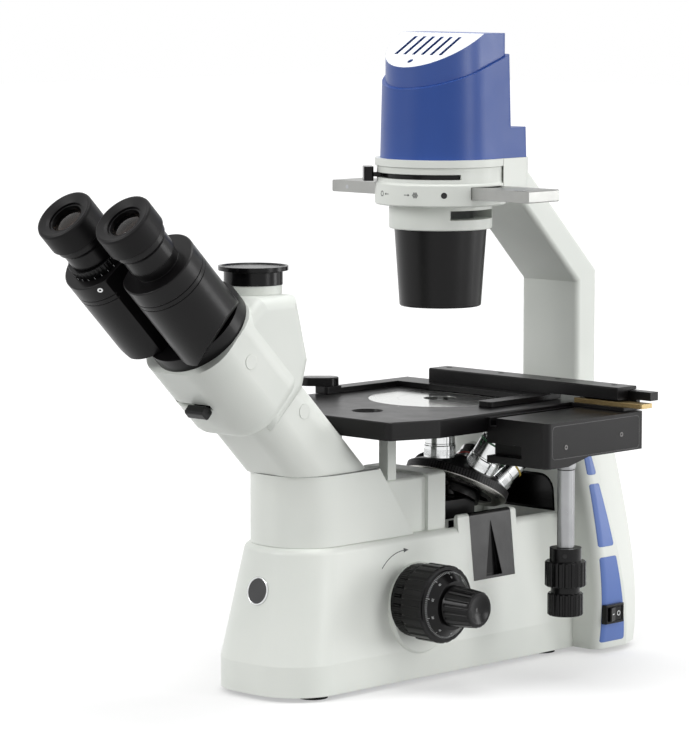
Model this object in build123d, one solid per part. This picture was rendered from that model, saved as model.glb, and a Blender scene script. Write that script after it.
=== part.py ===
from build123d import *
import os
from math import atan2, cos, degrees, pi, radians, sin, tan

# Inverted microscope. Millimetres, +Z up, the observer sits at -Y, the drive knobs are on +X.
# The origin lies on the bench, straight below the optical axis.

# Clearances between pieces
SEAT = 0.05          # round parts fixed in one another
RUN = 0.08           # running fit of shafts, radial
SLIDE = 0.3          # free flats and curves that pass each other

# Base casting
BASE_WALL = 5.0
SKIRT_Z = 3.5        # lower edge of the casting above the bench
SKIRT_TOP = 26.0
BASE_HALF = 50.0
BASE_FRONT = -207.5
BASE_CORNER = 38.0
DECK_Z = 110.0       # top of the casting
DECK_HALF = BASE_HALF - 9.0
DECK_FRONT = -189.0
DECK_CORNER = 35.0
RAIL_Z = 119.0       # raised side walls beside the light path
RAIL_Y = (-24.0, 42.0)
DECK_ROUND = 6.0
RAIL_ROUND = 3.0
WELL_HALF = DECK_HALF - 4.5     # open well under the nosepiece
WELL_Y0 = -31.0
PLATE_T = 2.5
FOOT_R = 11.0
FOOT_INSET = 18.0
BADGE_R = 9.5
BADGE_T = 2.0
BADGE_Z = 78.0

# Rear tower
TOWER_TOP = 189.5
TOWER_FRONT_LOW = 100.0
TOWER_FRONT_TOP = 84.0
TOWER_BACK = 156.0
TOWER_EDGE = ((74.0, 3.5), (80.5, 55.0), (79.0, 86.0), (70.0, 150.0), (62.5, 189.5))
TOWER_SIDE_LOW = 135.0
TOWER_SIDE_TOP = 93.0
TOWER_BEVEL = 26.0 / 53.0
TOWER_ROUND = 8.0
RECESS_HALF = 38.0
RECESS_TOP = 139.0
RECESS_DEPTH = 42.0
RECESS_CORNER = 13.0
LINER_T = 2.0
PANEL_T = 1.6
PANEL_MARGIN = 3.2
PANEL_SPANS = ((9.0, 77.0), (85.0, 134.0), (141.0, 159.0))

# Switch, inlet, brightness knob
SWITCH_Y = 111.0
SWITCH_Z = 32.0
SWITCH_W = 21.0
SWITCH_H = 15.0
SWITCH_RIM = 2.0
SWITCH_TILT = 10.0
ROCKER_PIN_R = 1.2
ROCKER_OUT = 0.4         # rocker's axis outside the widest part of the tower
INLET_W = 27.0
INLET_H = 20.0
INLET_Z = 40.0
INLET_DEPTH = 17.0
DIMMER_R = 9.0
DIMMER_LEN = 11.0

# Pillar and lamp arm
ARM_HALF = 29.0
PILLAR_FRONT = 126.5
PILLAR_BACK = 150.0
ARM_EDGE = 4.0
HEAD_BLOCK_HALF = 46.0
HEAD_BLOCK_BACK = 53.0

# Condenser carrier, turned about the optical axis
CARRIER_BORE = 26.0
CARRIER_LOW_R = 39.2
CONE_Z = 274.4           # lower edge of the condenser cone
CONE_LEN = 59.2
CARRIER_LOW_Z = CONE_Z + CONE_LEN
COLLAR_LEN = 18.4
RING_R = 50.0
RING_Z = CARRIER_LOW_Z + COLLAR_LEN
NECK_R = 48.5
NECK_Z = RING_Z + 17.0
FLANGE_Z = NECK_Z + 12.0
CARRIER_TOP = FLANGE_Z + 6.0
FILTER_HALF = 23.3
FILTER_Z = (CARRIER_LOW_Z + 7.9, CARRIER_LOW_Z + 14.9)
SLIDER_X = (-98.0, 104.0)
SLIDER_HALF = 17.0
SLIDER_Z = (RING_Z + 5.5, RING_Z + 14.5)
SLIDER_APERTURE = 13.5
LEVER_Z = (NECK_Z + 3.7, NECK_Z + 7.0)
LEVER_RING = (41.3, 45.7)
LEVER_AT = -132.0
LEVER_SWEEP = 97.0
LEVER_REACH = 59.0
CONE_LOW_R = 31.1
CONE_TOP_R = 35.15
CONE_WALL = 2.5
LENS_Z = CONE_Z + 3.6
HEAD_BLOCK_Z = NECK_Z - 4.0
ARM_LOW_SUM = CARRIER_TOP + 25.0     # Y + Z along the lower 45 degree face
ARM_HIGH_SUM = CARRIER_TOP + 57.5    # Y + Z along the upper 45 degree face

# Lamp housing
LAMP_R = 46.0
LAMP_BACK_LOW = 49.0
LAMP_BACK = 32.0
LAMP_STEP_Z = CARRIER_TOP + 23.0
LAMP_TAPER = 1.4
LAMP_CORNER = 5.0
LAMP_WALL = 3.0
SHOULDER_Z = CARRIER_TOP + 68.0      # on the optical axis
SHOULDER_SLOPE = 0.344
CAP_R = 42.0
CAP_BACK = 28.5
CAP_RISE = 26.0
CAP_TOP = SHOULDER_Z + CAP_RISE
CAP_FRONT_Z = SHOULDER_Z + 1.0
CAP_RIDGE_Y = 2.0
CAP_WALL = 2.5
VENT_COUNT = 6
VENT_PITCH = 9.0
VENT_W = 3.2
LAMP_TUBE = (22.0, 26.0)
LAMP_BOARD_Z = CARRIER_TOP + 17.0
FIN_COUNT = 7

# Stage
STAGE_Z = 203.0
STAGE_T = 13.5
STAGE_HALF = 90.0
STAGE_FRONT = -137.0
STAGE_BACK = 112.0
STAGE_CUT_X = STAGE_HALF - 15.0
STAGE_CUT_Y = -98.0
STAGE_ROUND = 5.0
STAGE_BORE = 52.0
INSERT_R = 55.0
INSERT_T = 3.0
CENTRE_R = 32.5
CENTRE_BORE = 12.5

# Stage drive
DRIVE_X = (STAGE_HALF, STAGE_HALF + 59.0)
DRIVE_Y = (-46.5, 64.0)
DRIVE_Z = (STAGE_Z - 36.5, STAGE_Z - 2.7)
DRIVE_STEP_Y = (-23.0, 0.0)
DRIVE_STEP_Z = DRIVE_Z[0] + 5.5
DRIVE_SLOT_X = (STAGE_HALF, STAGE_HALF + 34.0)
DRIVE_SLOT_Z = (DRIVE_Z[0] + 5.5, DRIVE_Z[0] + 15.0)
DRIVE_SLOT_DEPTH = 9.0
DRIVE_COVER_T = 2.5
COLUMN_X = STAGE_HALF + 29.5
COLUMN_Y = 9.0
SLEEVE_R = 6.5
TUBE_R = 4.6
ROD_R = 3.0
SLEEVE_Z = 100.0
KNOB_UP = (71.0, 90.0)
KNOB_UP_R = 15.5
KNOB_COLLAR_R = 12.0
KNOB_LOW = (49.0, 66.0)
KNOB_LOW_R = 13.4
KNOB_RIBS = 20

# Cross rail, carriage and plate holder
GROOVE_X = STAGE_HALF + 6.0
GROOVE_HALF = 3.0
GROOVE_Z = DRIVE_Z[1] - 6.3
RAIL_X = (-58.0, STAGE_HALF + 68.0)
RAIL_BAR_Y = (60.0, 69.0)
RAIL_BAR_Z = (STAGE_Z + 5.6, STAGE_Z + 12.0)
RACK_Y = (50.0, 62.0)
RACK_Z = (STAGE_Z + 0.4, STAGE_Z + 3.9)
BAR_X = (-55.0, STAGE_HALF + 47.0)
BAR_Y = (47.0, 59.7)
BAR_Z = (STAGE_Z + 5.6, STAGE_Z + 15.0)
HOLDER_Z = (STAGE_Z + 0.4, STAGE_Z + 4.4)
HOLDER_LEFT = (-STAGE_HALF, 14.0 - STAGE_HALF)
HOLDER_TIP_Y = -46.0
HOLDER_BLOCK = 18.0      # raised block at the tip that carries the clamp
HOLDER_BLOCK_T = 1.6
HOLDER_RIGHT = (56.0, 70.0)
HOLDER_RIGHT_Y = -20.0
HOLDER_BACK_Y = 34.0
CLAMP_PIVOT = (7.0 - STAGE_HALF, HOLDER_TIP_Y + 9.0)
CLAMP_PIN_R = 3.0
CLAMP_R = 8.0
CLAMP_T = 6.6
CLAMP_LEN = 30.0
CLAMP_REST = 44.0

# Nosepiece
NOSE_TILT = 27.0
PARFOCAL = 45.0
MOUNT_R = 27.0           # radius of the objective seats about the turret axis
TURRET_R = 40.5
TURRET_LOW = 37.0        # along the turret axis from its apex
TURRET_RIM = 46.0
TURRET_BORE = 8.0
OBJECTIVE_R = 12.2
STATIONS = 5
CARRIER_DISC = (31.0, 36.7)
CARRIER_DISC_R = 21.0
LIGHT_R = 11.0

# Focus drive
FOCUS_Y = -84.0
FOCUS_Z = 64.0
BOSS_R = 34.0
BOSS_SHIFT = (11.0, -8.0)    # the boss reaches back and down from the knobs over the focus gears
BOSS_X = BASE_HALF + 2.0
BOSS_EDGE = 1.5
COARSE_TUBE = (4.1, 7.0)
COARSE_R = 29.0
TENSION_R = 27.2
TENSION_LEN = 12.0
TENSION_RIBS = 24
TENSION_X = (BOSS_X + SLIDE, BOSS_X + SLIDE + TENSION_LEN)
COARSE_X = (TENSION_X[1] + SLIDE, TENSION_X[1] + SLIDE + 19.4)
DIAL_X = COARSE_X[1] + 8.0
DIAL_R = 18.0
COARSE_RIBS = 24
FINE_ROD_R = 4.0
FINE_X = (DIAL_X + 0.4, DIAL_X + 25.0)
FINE_R = (15.5, 13.5)
FINE_FLUTES = 18
FINE_FLUTE_R = 1.6
FINE_DISH = (10.5, 2.2)      # radius and depth of the hollow in the end
PINION_MODULE = 0.75
PINION_TEETH = 16
PINION_HALF = 5.0
RACK_TEETH = 15

# Neck and head
NECK_HALF = DECK_HALF - 3.0
NECK_FRONT = -186.0
NECK_CORNER = 34.0
SEAM_Z = 163.0
NECK_BACK_TOP = -106.5
NECK_BACK_LOW = -70.0
PEDESTAL_HALF = DECK_HALF - 10.0
PEDESTAL_ROUND = 3.0
FLANGE_HALF = DECK_HALF - 7.0
FLANGE_Y = -50.0
PEDESTAL_TOP = 152.0
POST_HALF = 4.5
POST_AT = (28.0, -88.0)
HEAD_TILT = 45.0
ELBOW_HALF = NECK_HALF - 2.0
ELBOW_LOW = -16.0
ELBOW_HIGH = 40.0
ELBOW_CORNER = 20.0
SNOUT_HALF = 40.0
SNOUT_LOW = -26.0
SNOUT_HIGH = 46.0
SNOUT_CORNER = 27.0
SNOUT_FROM = 298.0
SNOUT_TO = 372.0
TRUNK_HALF = 38.0
PORT_Y = -200.0
PORT_Z = 297.0
PORT_R = 21.0
PORT_BORE = 11.6         # standard 23.2 mm photo tube
PORT_LIGHT = 10.0        # light opening below the bore, leaving a seat for the tube
PORT_TOP = 303.5
PORT_SPIGOT_R = 18.0
CAP_SKIRT_R = 21.5
CAP_SKIRT_TOP = 313.0
CAP_FLANGE_R = 25.5
CAP_FLANGE_TOP = 317.0
BEARING_R = 38.0
BEARING_T = 14.0
BEARING_S = 383.7
IPD = 60.0
EYE_T = 3.0              # height of the eyepiece axes above the bench diagonal
SWING_R = 37.7
SWING_IN = 11.0
SWING_OUT = 37.0
HOUSING_R = 28.5
HOUSING_S = (384.0, 460.0)
GROOVE_S = (442.0, 446.0)
GROOVE_W = 0.7
HINGE_PIN_R = 5.0
EYETUBE_R = 16.8
EYEPIECE_STEM = 15.0
EYETUBE_S = (430.0, 468.0)
EYEPIECE_S = (468.0, 490.0)
EYEPIECE_R = (18.2, 20.0)
EYECUP_S = (488.0, 507.0)
EYECUP_R = 22.0
EYE_LENS_R = 12.0
EYE_RIM_R = 13.4
DIOPTER_S = (460.3, 467.7)
DIOPTER_R = 21.0
LEVER_S = 336.0
LEVER_SLOT = (-26.0, 14.0)
LEVER_W = 18.0
PLUG_R = 5.5


def span(x, y, z):
    """Block between its limits on each axis."""
    middle = Pos((x[0] + x[1]) / 2, (y[0] + y[1]) / 2, (z[0] + z[1]) / 2)
    return middle * Box(x[1] - x[0], y[1] - y[0], z[1] - z[0])


def disc(radius, z0, z1, x=0.0, y=0.0):
    """Upright cylinder between two heights."""
    return Pos(x, y, (z0 + z1) / 2) * Cylinder(radius, z1 - z0)


def tube(outer, inner, z0, z1, x=0.0, y=0.0):
    return disc(outer, z0, z1, x, y) - disc(inner, z0 - 1, z1 + 1, x, y)


def turned(*points):
    """Solid of revolution about Z from (radius, height) points."""
    return revolve(Plane.XZ * make_face(Polyline(*points, close=True)), Axis.Z)


def across(*points, half=None, x=None):
    """Prism along X from a (Y, Z) outline."""
    low, high = (-half, half) if x is None else x
    face = Plane.YZ * make_face(Polyline(*points, close=True))
    return Pos(low, 0, 0) * extrude(face, high - low)


def ribbed(radius, z0, z1, count, depth):
    """Grip with shallow scallops cut along it."""
    grip = chamfer(disc(radius, z0, z1).edges(), depth)
    scallop = pi * radius / count * 0.55
    for turn in range(count):
        grip -= Rot(0, 0, 360 * turn / count) * disc(scallop, z0 - 1, z1 + 1, radius + scallop - depth)
    return grip


def front_plan(half, front, back, corner):
    """Plan with two rounded front corners."""
    outline = make_face(Polyline((-half, front), (half, front), (half, back), (-half, back), close=True))
    return fillet(outline.vertices().sort_by(Axis.Y)[:2], corner)


def mirrored(shape):
    return mirror(shape, about=Plane.YZ)


def save(name, *solids):
    shape = solids[0] if len(solids) == 1 else Compound(children=[s.solid() for s in solids])
    export_step(shape, f"parts/{name}.step")


os.makedirs("parts", exist_ok=True)

# Head frame: X across, Y up and back, Z along the tilted eyepieces towards the observer
head_axis = (0, -sin(radians(HEAD_TILT)), cos(radians(HEAD_TILT)))
head = Plane((0, 0, 0), x_dir=(1, 0, 0), z_dir=head_axis).location


def oblique(half, low, high, corner, s0, s1):
    """Rounded bar along the tilted axis."""
    face = Pos(0, (low + high) / 2) * RectangleRounded(2 * half, high - low, corner)
    return head * (Pos(0, 0, s0) * extrude(face, s1 - s0))


# Rear tower: a tall casting that bulges to the sides and leans at the front
right_edge = Spline(*TOWER_EDGE)
left_edge = Spline(*[(-x, z) for x, z in reversed(TOWER_EDGE)])
tower_face = make_face([
    right_edge,
    Line(TOWER_EDGE[-1], (-TOWER_EDGE[-1][0], TOWER_TOP)),
    left_edge,
    Line((-TOWER_EDGE[0][0], SKIRT_Z), TOWER_EDGE[0]),
])
DEEP = 200.0
tower_bulge = extrude(Plane((0, DEEP, 0), x_dir=(1, 0, 0), z_dir=(0, -1, 0)) * tower_face, DEEP)
tower_lean = across(
    (TOWER_FRONT_LOW, SKIRT_Z),
    (TOWER_BACK, SKIRT_Z),
    (TOWER_BACK, TOWER_TOP),
    (TOWER_FRONT_TOP, TOWER_TOP),
    half=DEEP / 2,
)


def bevel_plan(side_x, side_y, z):
    """Plan of the tower with slanted rear corners, carried past the sides."""
    wide = DEEP / 2
    at_side = side_y - (wide - side_x) / TOWER_BEVEL
    at_back = side_x - (TOWER_BACK - side_y) * TOWER_BEVEL
    right = [(wide, -DEEP), (wide, at_side), (at_back, TOWER_BACK)]
    left = [(-x, y) for x, y in reversed(right)]
    return Pos(0, 0, z) * make_face(Polyline(*right, *left, close=True))


def side_back(z):
    """Rear limit of the flat side face at a height."""
    return TOWER_SIDE_LOW + (TOWER_SIDE_TOP - TOWER_SIDE_LOW) * (z - SKIRT_Z) / (TOWER_TOP - SKIRT_Z)


tower_bevel = loft([bevel_plan(x, side_back(z), z) for x, z in TOWER_EDGE])
tower_form = tower_bulge & tower_lean & tower_bevel
tower_nose = [e for e in tower_form.edges() if e.center().Y < TOWER_FRONT_LOW and e.length > TOWER_TOP / 2]
tower_form = fillet([e for e in tower_nose if abs(e.center().X) > TOWER_EDGE[-1][0]], TOWER_ROUND)

# Base casting: a skirt with a rounded nose, drawn in towards the deck
def base_form(inset, low, high):
    """Outer or inner form of the base, drawn in by an inset."""
    back = TOWER_BACK - inset
    deck_rise = (RAIL_Z - SKIRT_TOP) / (DECK_Z - SKIRT_TOP)
    top_half = BASE_HALF + (DECK_HALF - BASE_HALF) * deck_rise
    top_front = BASE_FRONT + (DECK_FRONT - BASE_FRONT) * deck_rise
    low_plan = front_plan(BASE_HALF - inset, BASE_FRONT + inset, back, BASE_CORNER - inset)
    top_plan = front_plan(top_half - inset, top_front + inset, back, DECK_CORNER - inset)
    skirt = extrude(Pos(0, 0, SKIRT_Z) * low_plan, SKIRT_TOP - SKIRT_Z)
    rise = loft([Pos(0, 0, SKIRT_TOP) * low_plan, Pos(0, 0, RAIL_Z) * top_plan], ruled=True)
    return (skirt + rise) & span((-DEEP, DEEP), (-2 * DEEP, DEEP), (low, high))


def wall_x(z):
    """Half width of the casting at a height on the drawn-in walls."""
    return BASE_HALF + (DECK_HALF - BASE_HALF) * (z - SKIRT_TOP) / (DECK_Z - SKIRT_TOP)


deck = base_form(0, SKIRT_Z, DECK_Z)
deck_rim = deck.faces().sort_by(Axis.Z)[-1].edges().sort_by(Axis.Y)[:-1]
rails = base_form(0, DECK_Z - 2 * DECK_ROUND, RAIL_Z) & span((-DEEP, DEEP), RAIL_Y, (0, DEEP))
rails = fillet(rails.faces().sort_by(Axis.Z)[-1].edges(), RAIL_ROUND)
casting = fillet(deck_rim, DECK_ROUND) + rails
focus_line = Pos(0, FOCUS_Y, FOCUS_Z) * Rot(0, 90, 0)
boss = chamfer(Cylinder(BOSS_R, 2 * BOSS_X).edges(), BOSS_EDGE)
base = casting + (Pos(0, BOSS_SHIFT[0], BOSS_SHIFT[1]) * focus_line * boss)
base -= base_form(BASE_WALL, SKIRT_Z, DECK_Z - DECK_ROUND)
base -= span((-WELL_HALF, WELL_HALF), (WELL_Y0, DEEP), (SKIRT_Z, DEEP))
base += focus_line * Rot(180, 0, 0) * disc(TENSION_R - 4, BOSS_X - 1, TENSION_X[1])
base -= focus_line * Cylinder(COARSE_TUBE[1] + RUN, 3 * BOSS_X)
base -= tower_form

# Dark cover over the filter slot in the right wall, with a finger groove
COVER_Y = (-11.0, 36.0)
COVER_Z = 68.0
GROOVE_DEPTH = 5.0
SILL_X = 19.0            # dark filter block reaching into the well
SILL_Z = 111.5
cover_box = span((WELL_HALF, DEEP), COVER_Y, (COVER_Z, DEEP))
cover = casting & span((WELL_HALF, DEEP), COVER_Y, (COVER_Z, RAIL_Z))
groove_apex = (COVER_Y[0] + COVER_Y[1]) / 2
groove = extrude(
    Plane.YZ * make_face(Polyline(
        (groove_apex, RAIL_Z - 7),
        (groove_apex - 9, COVER_Z + 2),
        (groove_apex + 9, COVER_Z + 2),
        close=True,
    )),
    DEEP,
)
groove &= extrude(
    Plane.XZ * make_face(Polyline(
        (wall_x(RAIL_Z - 7), RAIL_Z - 7),
        (wall_x(COVER_Z) - GROOVE_DEPTH, COVER_Z + 2),
        (DEEP, COVER_Z + 2),
        (DEEP, RAIL_Z - 7),
        close=True,
    )),
    DEEP,
    both=True,
)
sill = span((SILL_X, WELL_HALF), COVER_Y, (COVER_Z, SILL_Z))
save("filter_slot_cover", cover - groove + sill)
base -= cover_box

# Round medallion on the sloping nose
nose_slope = (DECK_FRONT - BASE_FRONT) / (DECK_Z - SKIRT_TOP)
badge_y = BASE_FRONT + nose_slope * (BADGE_Z - SKIRT_TOP)
badge_plane = Plane((0, badge_y, BADGE_Z), x_dir=(1, 0, 0), z_dir=(0, -1, nose_slope))
badge = badge_plane.location * disc(BADGE_R, -BADGE_T, 0.6)
base -= badge_plane.location * disc(BADGE_R, -BADGE_T, BADGE_T)
save("front_medallion", chamfer(badge.edges().group_by(Axis.Y)[0], 0.4))
save("base_casting", base)

# Base plate let into the skirt, and its feet: four on the plate, two on the tower, one under the mirror
plate_z = SKIRT_Z + 1.5
plate = front_plan(BASE_HALF - BASE_WALL, BASE_FRONT + BASE_WALL, TOWER_BACK, BASE_CORNER - BASE_WALL)
plate = extrude(Pos(0, 0, plate_z) * plate, PLATE_T) - tower_form
save("base_plate", plate)
foot_x = BASE_HALF - FOOT_INSET
foot_rows = (BASE_FRONT + 2 * FOOT_INSET, TOWER_FRONT_LOW - FOOT_INSET)
feet = [disc(FOOT_R, 0, plate_z, side * foot_x, y) for side in (-1, 1) for y in foot_rows]
tower_foot_y = TOWER_BACK - FOOT_INSET
feet += [disc(FOOT_R, 0, SKIRT_Z, side * foot_x, tower_foot_y) for side in (-1, 1)]
feet.append(disc(FOOT_R, 0, plate_z))
save("rubber_feet", *feet)

# Tower openings: recess behind the nosepiece, hollow for the power board, inlet and switch
recess_face = fillet(
    make_face(Polyline(
        (-RECESS_HALF, DECK_Z),
        (RECESS_HALF, DECK_Z),
        (RECESS_HALF, RECESS_TOP),
        (-RECESS_HALF, RECESS_TOP),
        close=True,
    )).vertices().sort_by(Axis.Y)[-2:],
    RECESS_CORNER,
)
recess_plane = Plane((0, TOWER_FRONT_TOP + RECESS_DEPTH, 0), x_dir=(1, 0, 0), z_dir=(0, -1, 0))
recess = extrude(recess_plane * recess_face, DEEP)
liner = tower_form & recess
inner_plane = Plane((0, TOWER_FRONT_TOP + RECESS_DEPTH - LINER_T, 0), x_dir=(1, 0, 0), z_dir=(0, -1, 0))
liner -= extrude(inner_plane * offset(recess_face, -LINER_T), DEEP)
save("recess_liner", liner)

# Coloured side panels let into both flanks of the tower
core_edge = [(x - PANEL_T, z) for x, z in TOWER_EDGE]
core_face = make_face([
    Spline(*core_edge),
    Line(core_edge[-1], (-core_edge[-1][0], core_edge[-1][1])),
    Spline(*[(-x, z) for x, z in reversed(core_edge)]),
    Line((-core_edge[0][0], core_edge[0][1]), core_edge[0]),
])
tower_core = extrude(Plane((0, DEEP, 0), x_dir=(1, 0, 0), z_dir=(0, -1, 0)) * core_face, DEEP)


def flank(z):
    """Front and rear limits of the flat side face at a height."""
    share = (z - SKIRT_Z) / (TOWER_TOP - SKIRT_Z)
    front = TOWER_FRONT_LOW + (TOWER_FRONT_TOP - TOWER_FRONT_LOW) * share
    return front + PANEL_MARGIN, side_back(z) - PANEL_MARGIN


panels = []
tower_skin = tower_form - tower_core
tower = tower_form - recess
for low, high in PANEL_SPANS:
    low_front, low_back = flank(low)
    high_front, high_back = flank(high)
    outline = make_face(Polyline(
        (low_front, low), (low_back, low), (high_back, high), (high_front, high), close=True,
    ))
    outline = fillet(outline.vertices(), 2.0)
    for reach in (DEEP, -DEEP):
        panel = tower_skin & extrude(Plane.YZ * outline, reach)
        panels.append(panel)
        tower -= panel

# Power switch on the lower right panel: frame, rocker
flank_x = TOWER_EDGE[1][0]
switch_plane = Plane((flank_x - 1.2, SWITCH_Y, SWITCH_Z), x_dir=(0, 1, 0), z_dir=(1, 0, 0))
switch_hole = switch_plane.location * Box(SWITCH_W - 2, SWITCH_H - 2, 40)
switch_bezel = switch_plane.location * (Pos(0, 0, 1.4) * Box(SWITCH_W, SWITCH_H, 5))
switch_body = switch_plane.location * (Pos(0, 0, -9) * Box(SWITCH_W - 2.2, SWITCH_H - 2.2, 20))
rocker_room = switch_plane.location * (
    Pos(0, 0, 2) * Box(SWITCH_W - 2 * SWITCH_RIM, SWITCH_H - 2 * SWITCH_RIM, 12)
)
tower -= switch_hole
panels[0] = panels[0] - switch_hole - switch_bezel
tower -= switch_bezel
rocker_line = Pos(flank_x + ROCKER_OUT, SWITCH_Y, SWITCH_Z)
rocker_pin = rocker_line * Cylinder(ROCKER_PIN_R, SWITCH_H - SWITCH_RIM)
pin_room = rocker_line * Cylinder(ROCKER_PIN_R + RUN, SWITCH_H - SWITCH_RIM + SLIDE)
switch_frame = fillet(switch_bezel.edges().group_by(Axis.X)[-1], 0.8) + switch_body - rocker_room
save("switch_frame", switch_frame - pin_room)
rocker_half = SWITCH_W / 2 - SWITCH_RIM - 3 * SLIDE
rocker_face = make_face(Polyline(
    (-rocker_half, 0.6), (0, -2.2), (rocker_half, 0.6), (rocker_half, 3.2), (0, 2.2), (-rocker_half, 3.2),
    close=True,
))
rocker_tall = SWITCH_H - 2 * SWITCH_RIM - 2 * SLIDE
rocker_foot = Pos(flank_x + ROCKER_OUT, SWITCH_Y, SWITCH_Z - rocker_tall / 2)
rocker = rocker_foot * Rot(0, 0, SWITCH_TILT - 90) * extrude(rocker_face, rocker_tall)
save("switch_rocker", rocker + rocker_pin)

# Brightness knob on the left flank, opposite the switch
dimmer_plane = Plane((-flank_x, SWITCH_Y, SWITCH_Z), x_dir=(0, 1, 0), z_dir=(-1, 0, 0))
dimmer_hole = dimmer_plane.location * disc(3 + RUN, -12, 5)
tower -= dimmer_hole
panels[1] = panels[1] - dimmer_hole
dimmer = ribbed(DIMMER_R, 0.8, DIMMER_LEN, 18, 0.5) + disc(3, -10, 0.8)
save("brightness_knob", dimmer_plane.location * dimmer)
save("side_panels", *panels)

# Mains inlet let into the back of the tower
inlet_plane = Plane((0, TOWER_BACK, INLET_Z), x_dir=(-1, 0, 0), z_dir=(0, 1, 0))
inlet_case = fillet(Box(INLET_W, INLET_H, 2 * INLET_DEPTH).edges().filter_by(Axis.Z), 2)
inlet_case = inlet_case & span((-50, 50), (-50, 50), (-INLET_DEPTH, 0))
inlet_flange = fillet(Box(INLET_W + 5, INLET_H + 5, 2).edges().filter_by(Axis.Z), 3)
tower -= inlet_plane.location * Box(INLET_W + 2 * SEAT, INLET_H + 2 * SEAT, 4 * INLET_DEPTH)
inlet = inlet_case + (Pos(0, 0, 1) * inlet_flange)
inlet -= Pos(0, 0, 2) * Box(INLET_W - 4, INLET_H - 4, 2 * INLET_DEPTH - 4)
for pin_x, pin_y in ((-7, -2), (7, -2), (0, 2)):
    inlet += Pos(pin_x, pin_y, 5 - INLET_DEPTH) * Box(2, 4, 10)
save("mains_inlet", inlet_plane.location * inlet)
save("rear_tower", tower)

# Pillar and arm: one casting that rises from the tower and reaches over the stage
arm_face = make_face(Polyline(
    (PILLAR_FRONT, TOWER_TOP),
    (PILLAR_FRONT, ARM_LOW_SUM - PILLAR_FRONT),
    (ARM_LOW_SUM - HEAD_BLOCK_Z, HEAD_BLOCK_Z),
    (HEAD_BLOCK_BACK - 15, HEAD_BLOCK_Z),
    (HEAD_BLOCK_BACK - 15, CARRIER_TOP),
    (ARM_HIGH_SUM - CARRIER_TOP, CARRIER_TOP),
    (PILLAR_BACK, ARM_HIGH_SUM - PILLAR_BACK),
    (PILLAR_BACK, TOWER_TOP),
    close=True,
))
arm = Pos(-ARM_HALF, 0, 0) * extrude(Plane.YZ * arm_face, 2 * ARM_HALF)
arm = fillet(arm.faces().sort_by(Axis.X)[0].edges() + arm.faces().sort_by(Axis.X)[-1].edges(), ARM_EDGE)
arm &= span((-DEEP, DEEP), (-DEEP, DEEP), (TOWER_TOP, 3 * DEEP))
block = span((-HEAD_BLOCK_HALF, HEAD_BLOCK_HALF), (0, HEAD_BLOCK_BACK), (HEAD_BLOCK_Z, CARRIER_TOP))
block = fillet(block.edges().filter_by(Axis.Z).sort_by(Axis.Y)[-2:], 8)
arm = arm + block - disc(RING_R + SEAT, 0, 3 * DEEP)
save("lamp_arm", arm)

# Condenser carrier: ring with a slider way and the aperture lever's slot, and a filter collar under it
carrier = turned(
    (CARRIER_BORE, RING_Z),
    (RING_R - 1, RING_Z),
    (RING_R, RING_Z + 1),
    (RING_R, NECK_Z - 1),
    (RING_R - 1, NECK_Z),
    (NECK_R, NECK_Z + 0.5),
    (NECK_R, FLANGE_Z),
    (RING_R, FLANGE_Z + 0.5),
    (RING_R, CARRIER_TOP),
    (CARRIER_BORE, CARRIER_TOP),
)
collar = chamfer(tube(CARRIER_LOW_R, CARRIER_BORE, CARRIER_LOW_Z, RING_Z).edges().group_by(Axis.Z)[0], 0.6)
collar -= span((-CARRIER_BORE, DEEP), (-FILTER_HALF, FILTER_HALF), FILTER_Z)
carrier -= span(
    (-DEEP, DEEP),
    (-SLIDER_HALF - SLIDE, SLIDER_HALF + SLIDE),
    (SLIDER_Z[0] - SLIDE, SLIDER_Z[1] + SLIDE),
)
lever_low, lever_high = LEVER_Z
carrier -= tube(LEVER_RING[1] + SLIDE, LEVER_RING[0] - SLIDE, lever_low - SLIDE, lever_high + SLIDE)
slot_face = make_face(Polyline(
    (LEVER_RING[1] - 2, lever_low - SLIDE),
    (DEEP, lever_low - SLIDE),
    (DEEP, lever_high + SLIDE),
    (LEVER_RING[1] - 2, lever_high + SLIDE),
    close=True,
))
LEVER_SPARE = 6.0
lever_slot = revolve(Plane.XZ * slot_face, Axis.Z, LEVER_SWEEP + 2 * LEVER_SPARE)
carrier -= Rot(0, 0, LEVER_AT - LEVER_SPARE) * lever_slot
save("condenser_carrier", carrier, collar)

aperture_lever = tube(LEVER_RING[1], LEVER_RING[0], lever_low, lever_high)
aperture_lever += span((LEVER_RING[0] + 1, LEVER_REACH - 3), (-3, 3), LEVER_Z)
grip = span((RING_R + 1.5, LEVER_REACH), (-8, 8), (lever_low - 3, lever_high + 4.5))
aperture_lever += fillet(grip.edges().filter_by(Axis.Z), 2)
save("aperture_lever", Rot(0, 0, LEVER_AT) * aperture_lever)

slider = span(SLIDER_X, (-SLIDER_HALF, SLIDER_HALF), SLIDER_Z)
slider = chamfer(slider.edges().filter_by(Axis.Y), 0.8)
for aperture_x in (-45.0, 0.0, 45.0):
    slider -= disc(SLIDER_APERTURE, SLIDER_Z[0] - 1, SLIDER_Z[1] + 1, aperture_x)
for step in range(4):
    groove_x = SLIDER_X[1] - 4 - 3 * step
    slider -= span((groove_x, groove_x + 1.2), (-DEEP, DEEP), (SLIDER_Z[1] - 0.6, DEEP * 3))
save("phase_slider", slider)


def cone_inner(z):
    """Inner radius of the condenser cone at a height."""
    return CONE_LOW_R - CONE_WALL + (CONE_TOP_R - CONE_LOW_R) * (z - CONE_Z) / (CARRIER_LOW_Z - CONE_Z)


save("condenser_cone", turned(
    (cone_inner(CONE_Z), CONE_Z),
    (CONE_LOW_R - 0.8, CONE_Z),
    (CONE_LOW_R, CONE_Z + 0.8),
    (CONE_TOP_R, CARRIER_LOW_Z),
    (cone_inner(CARRIER_LOW_Z), CARRIER_LOW_Z),
))


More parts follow.
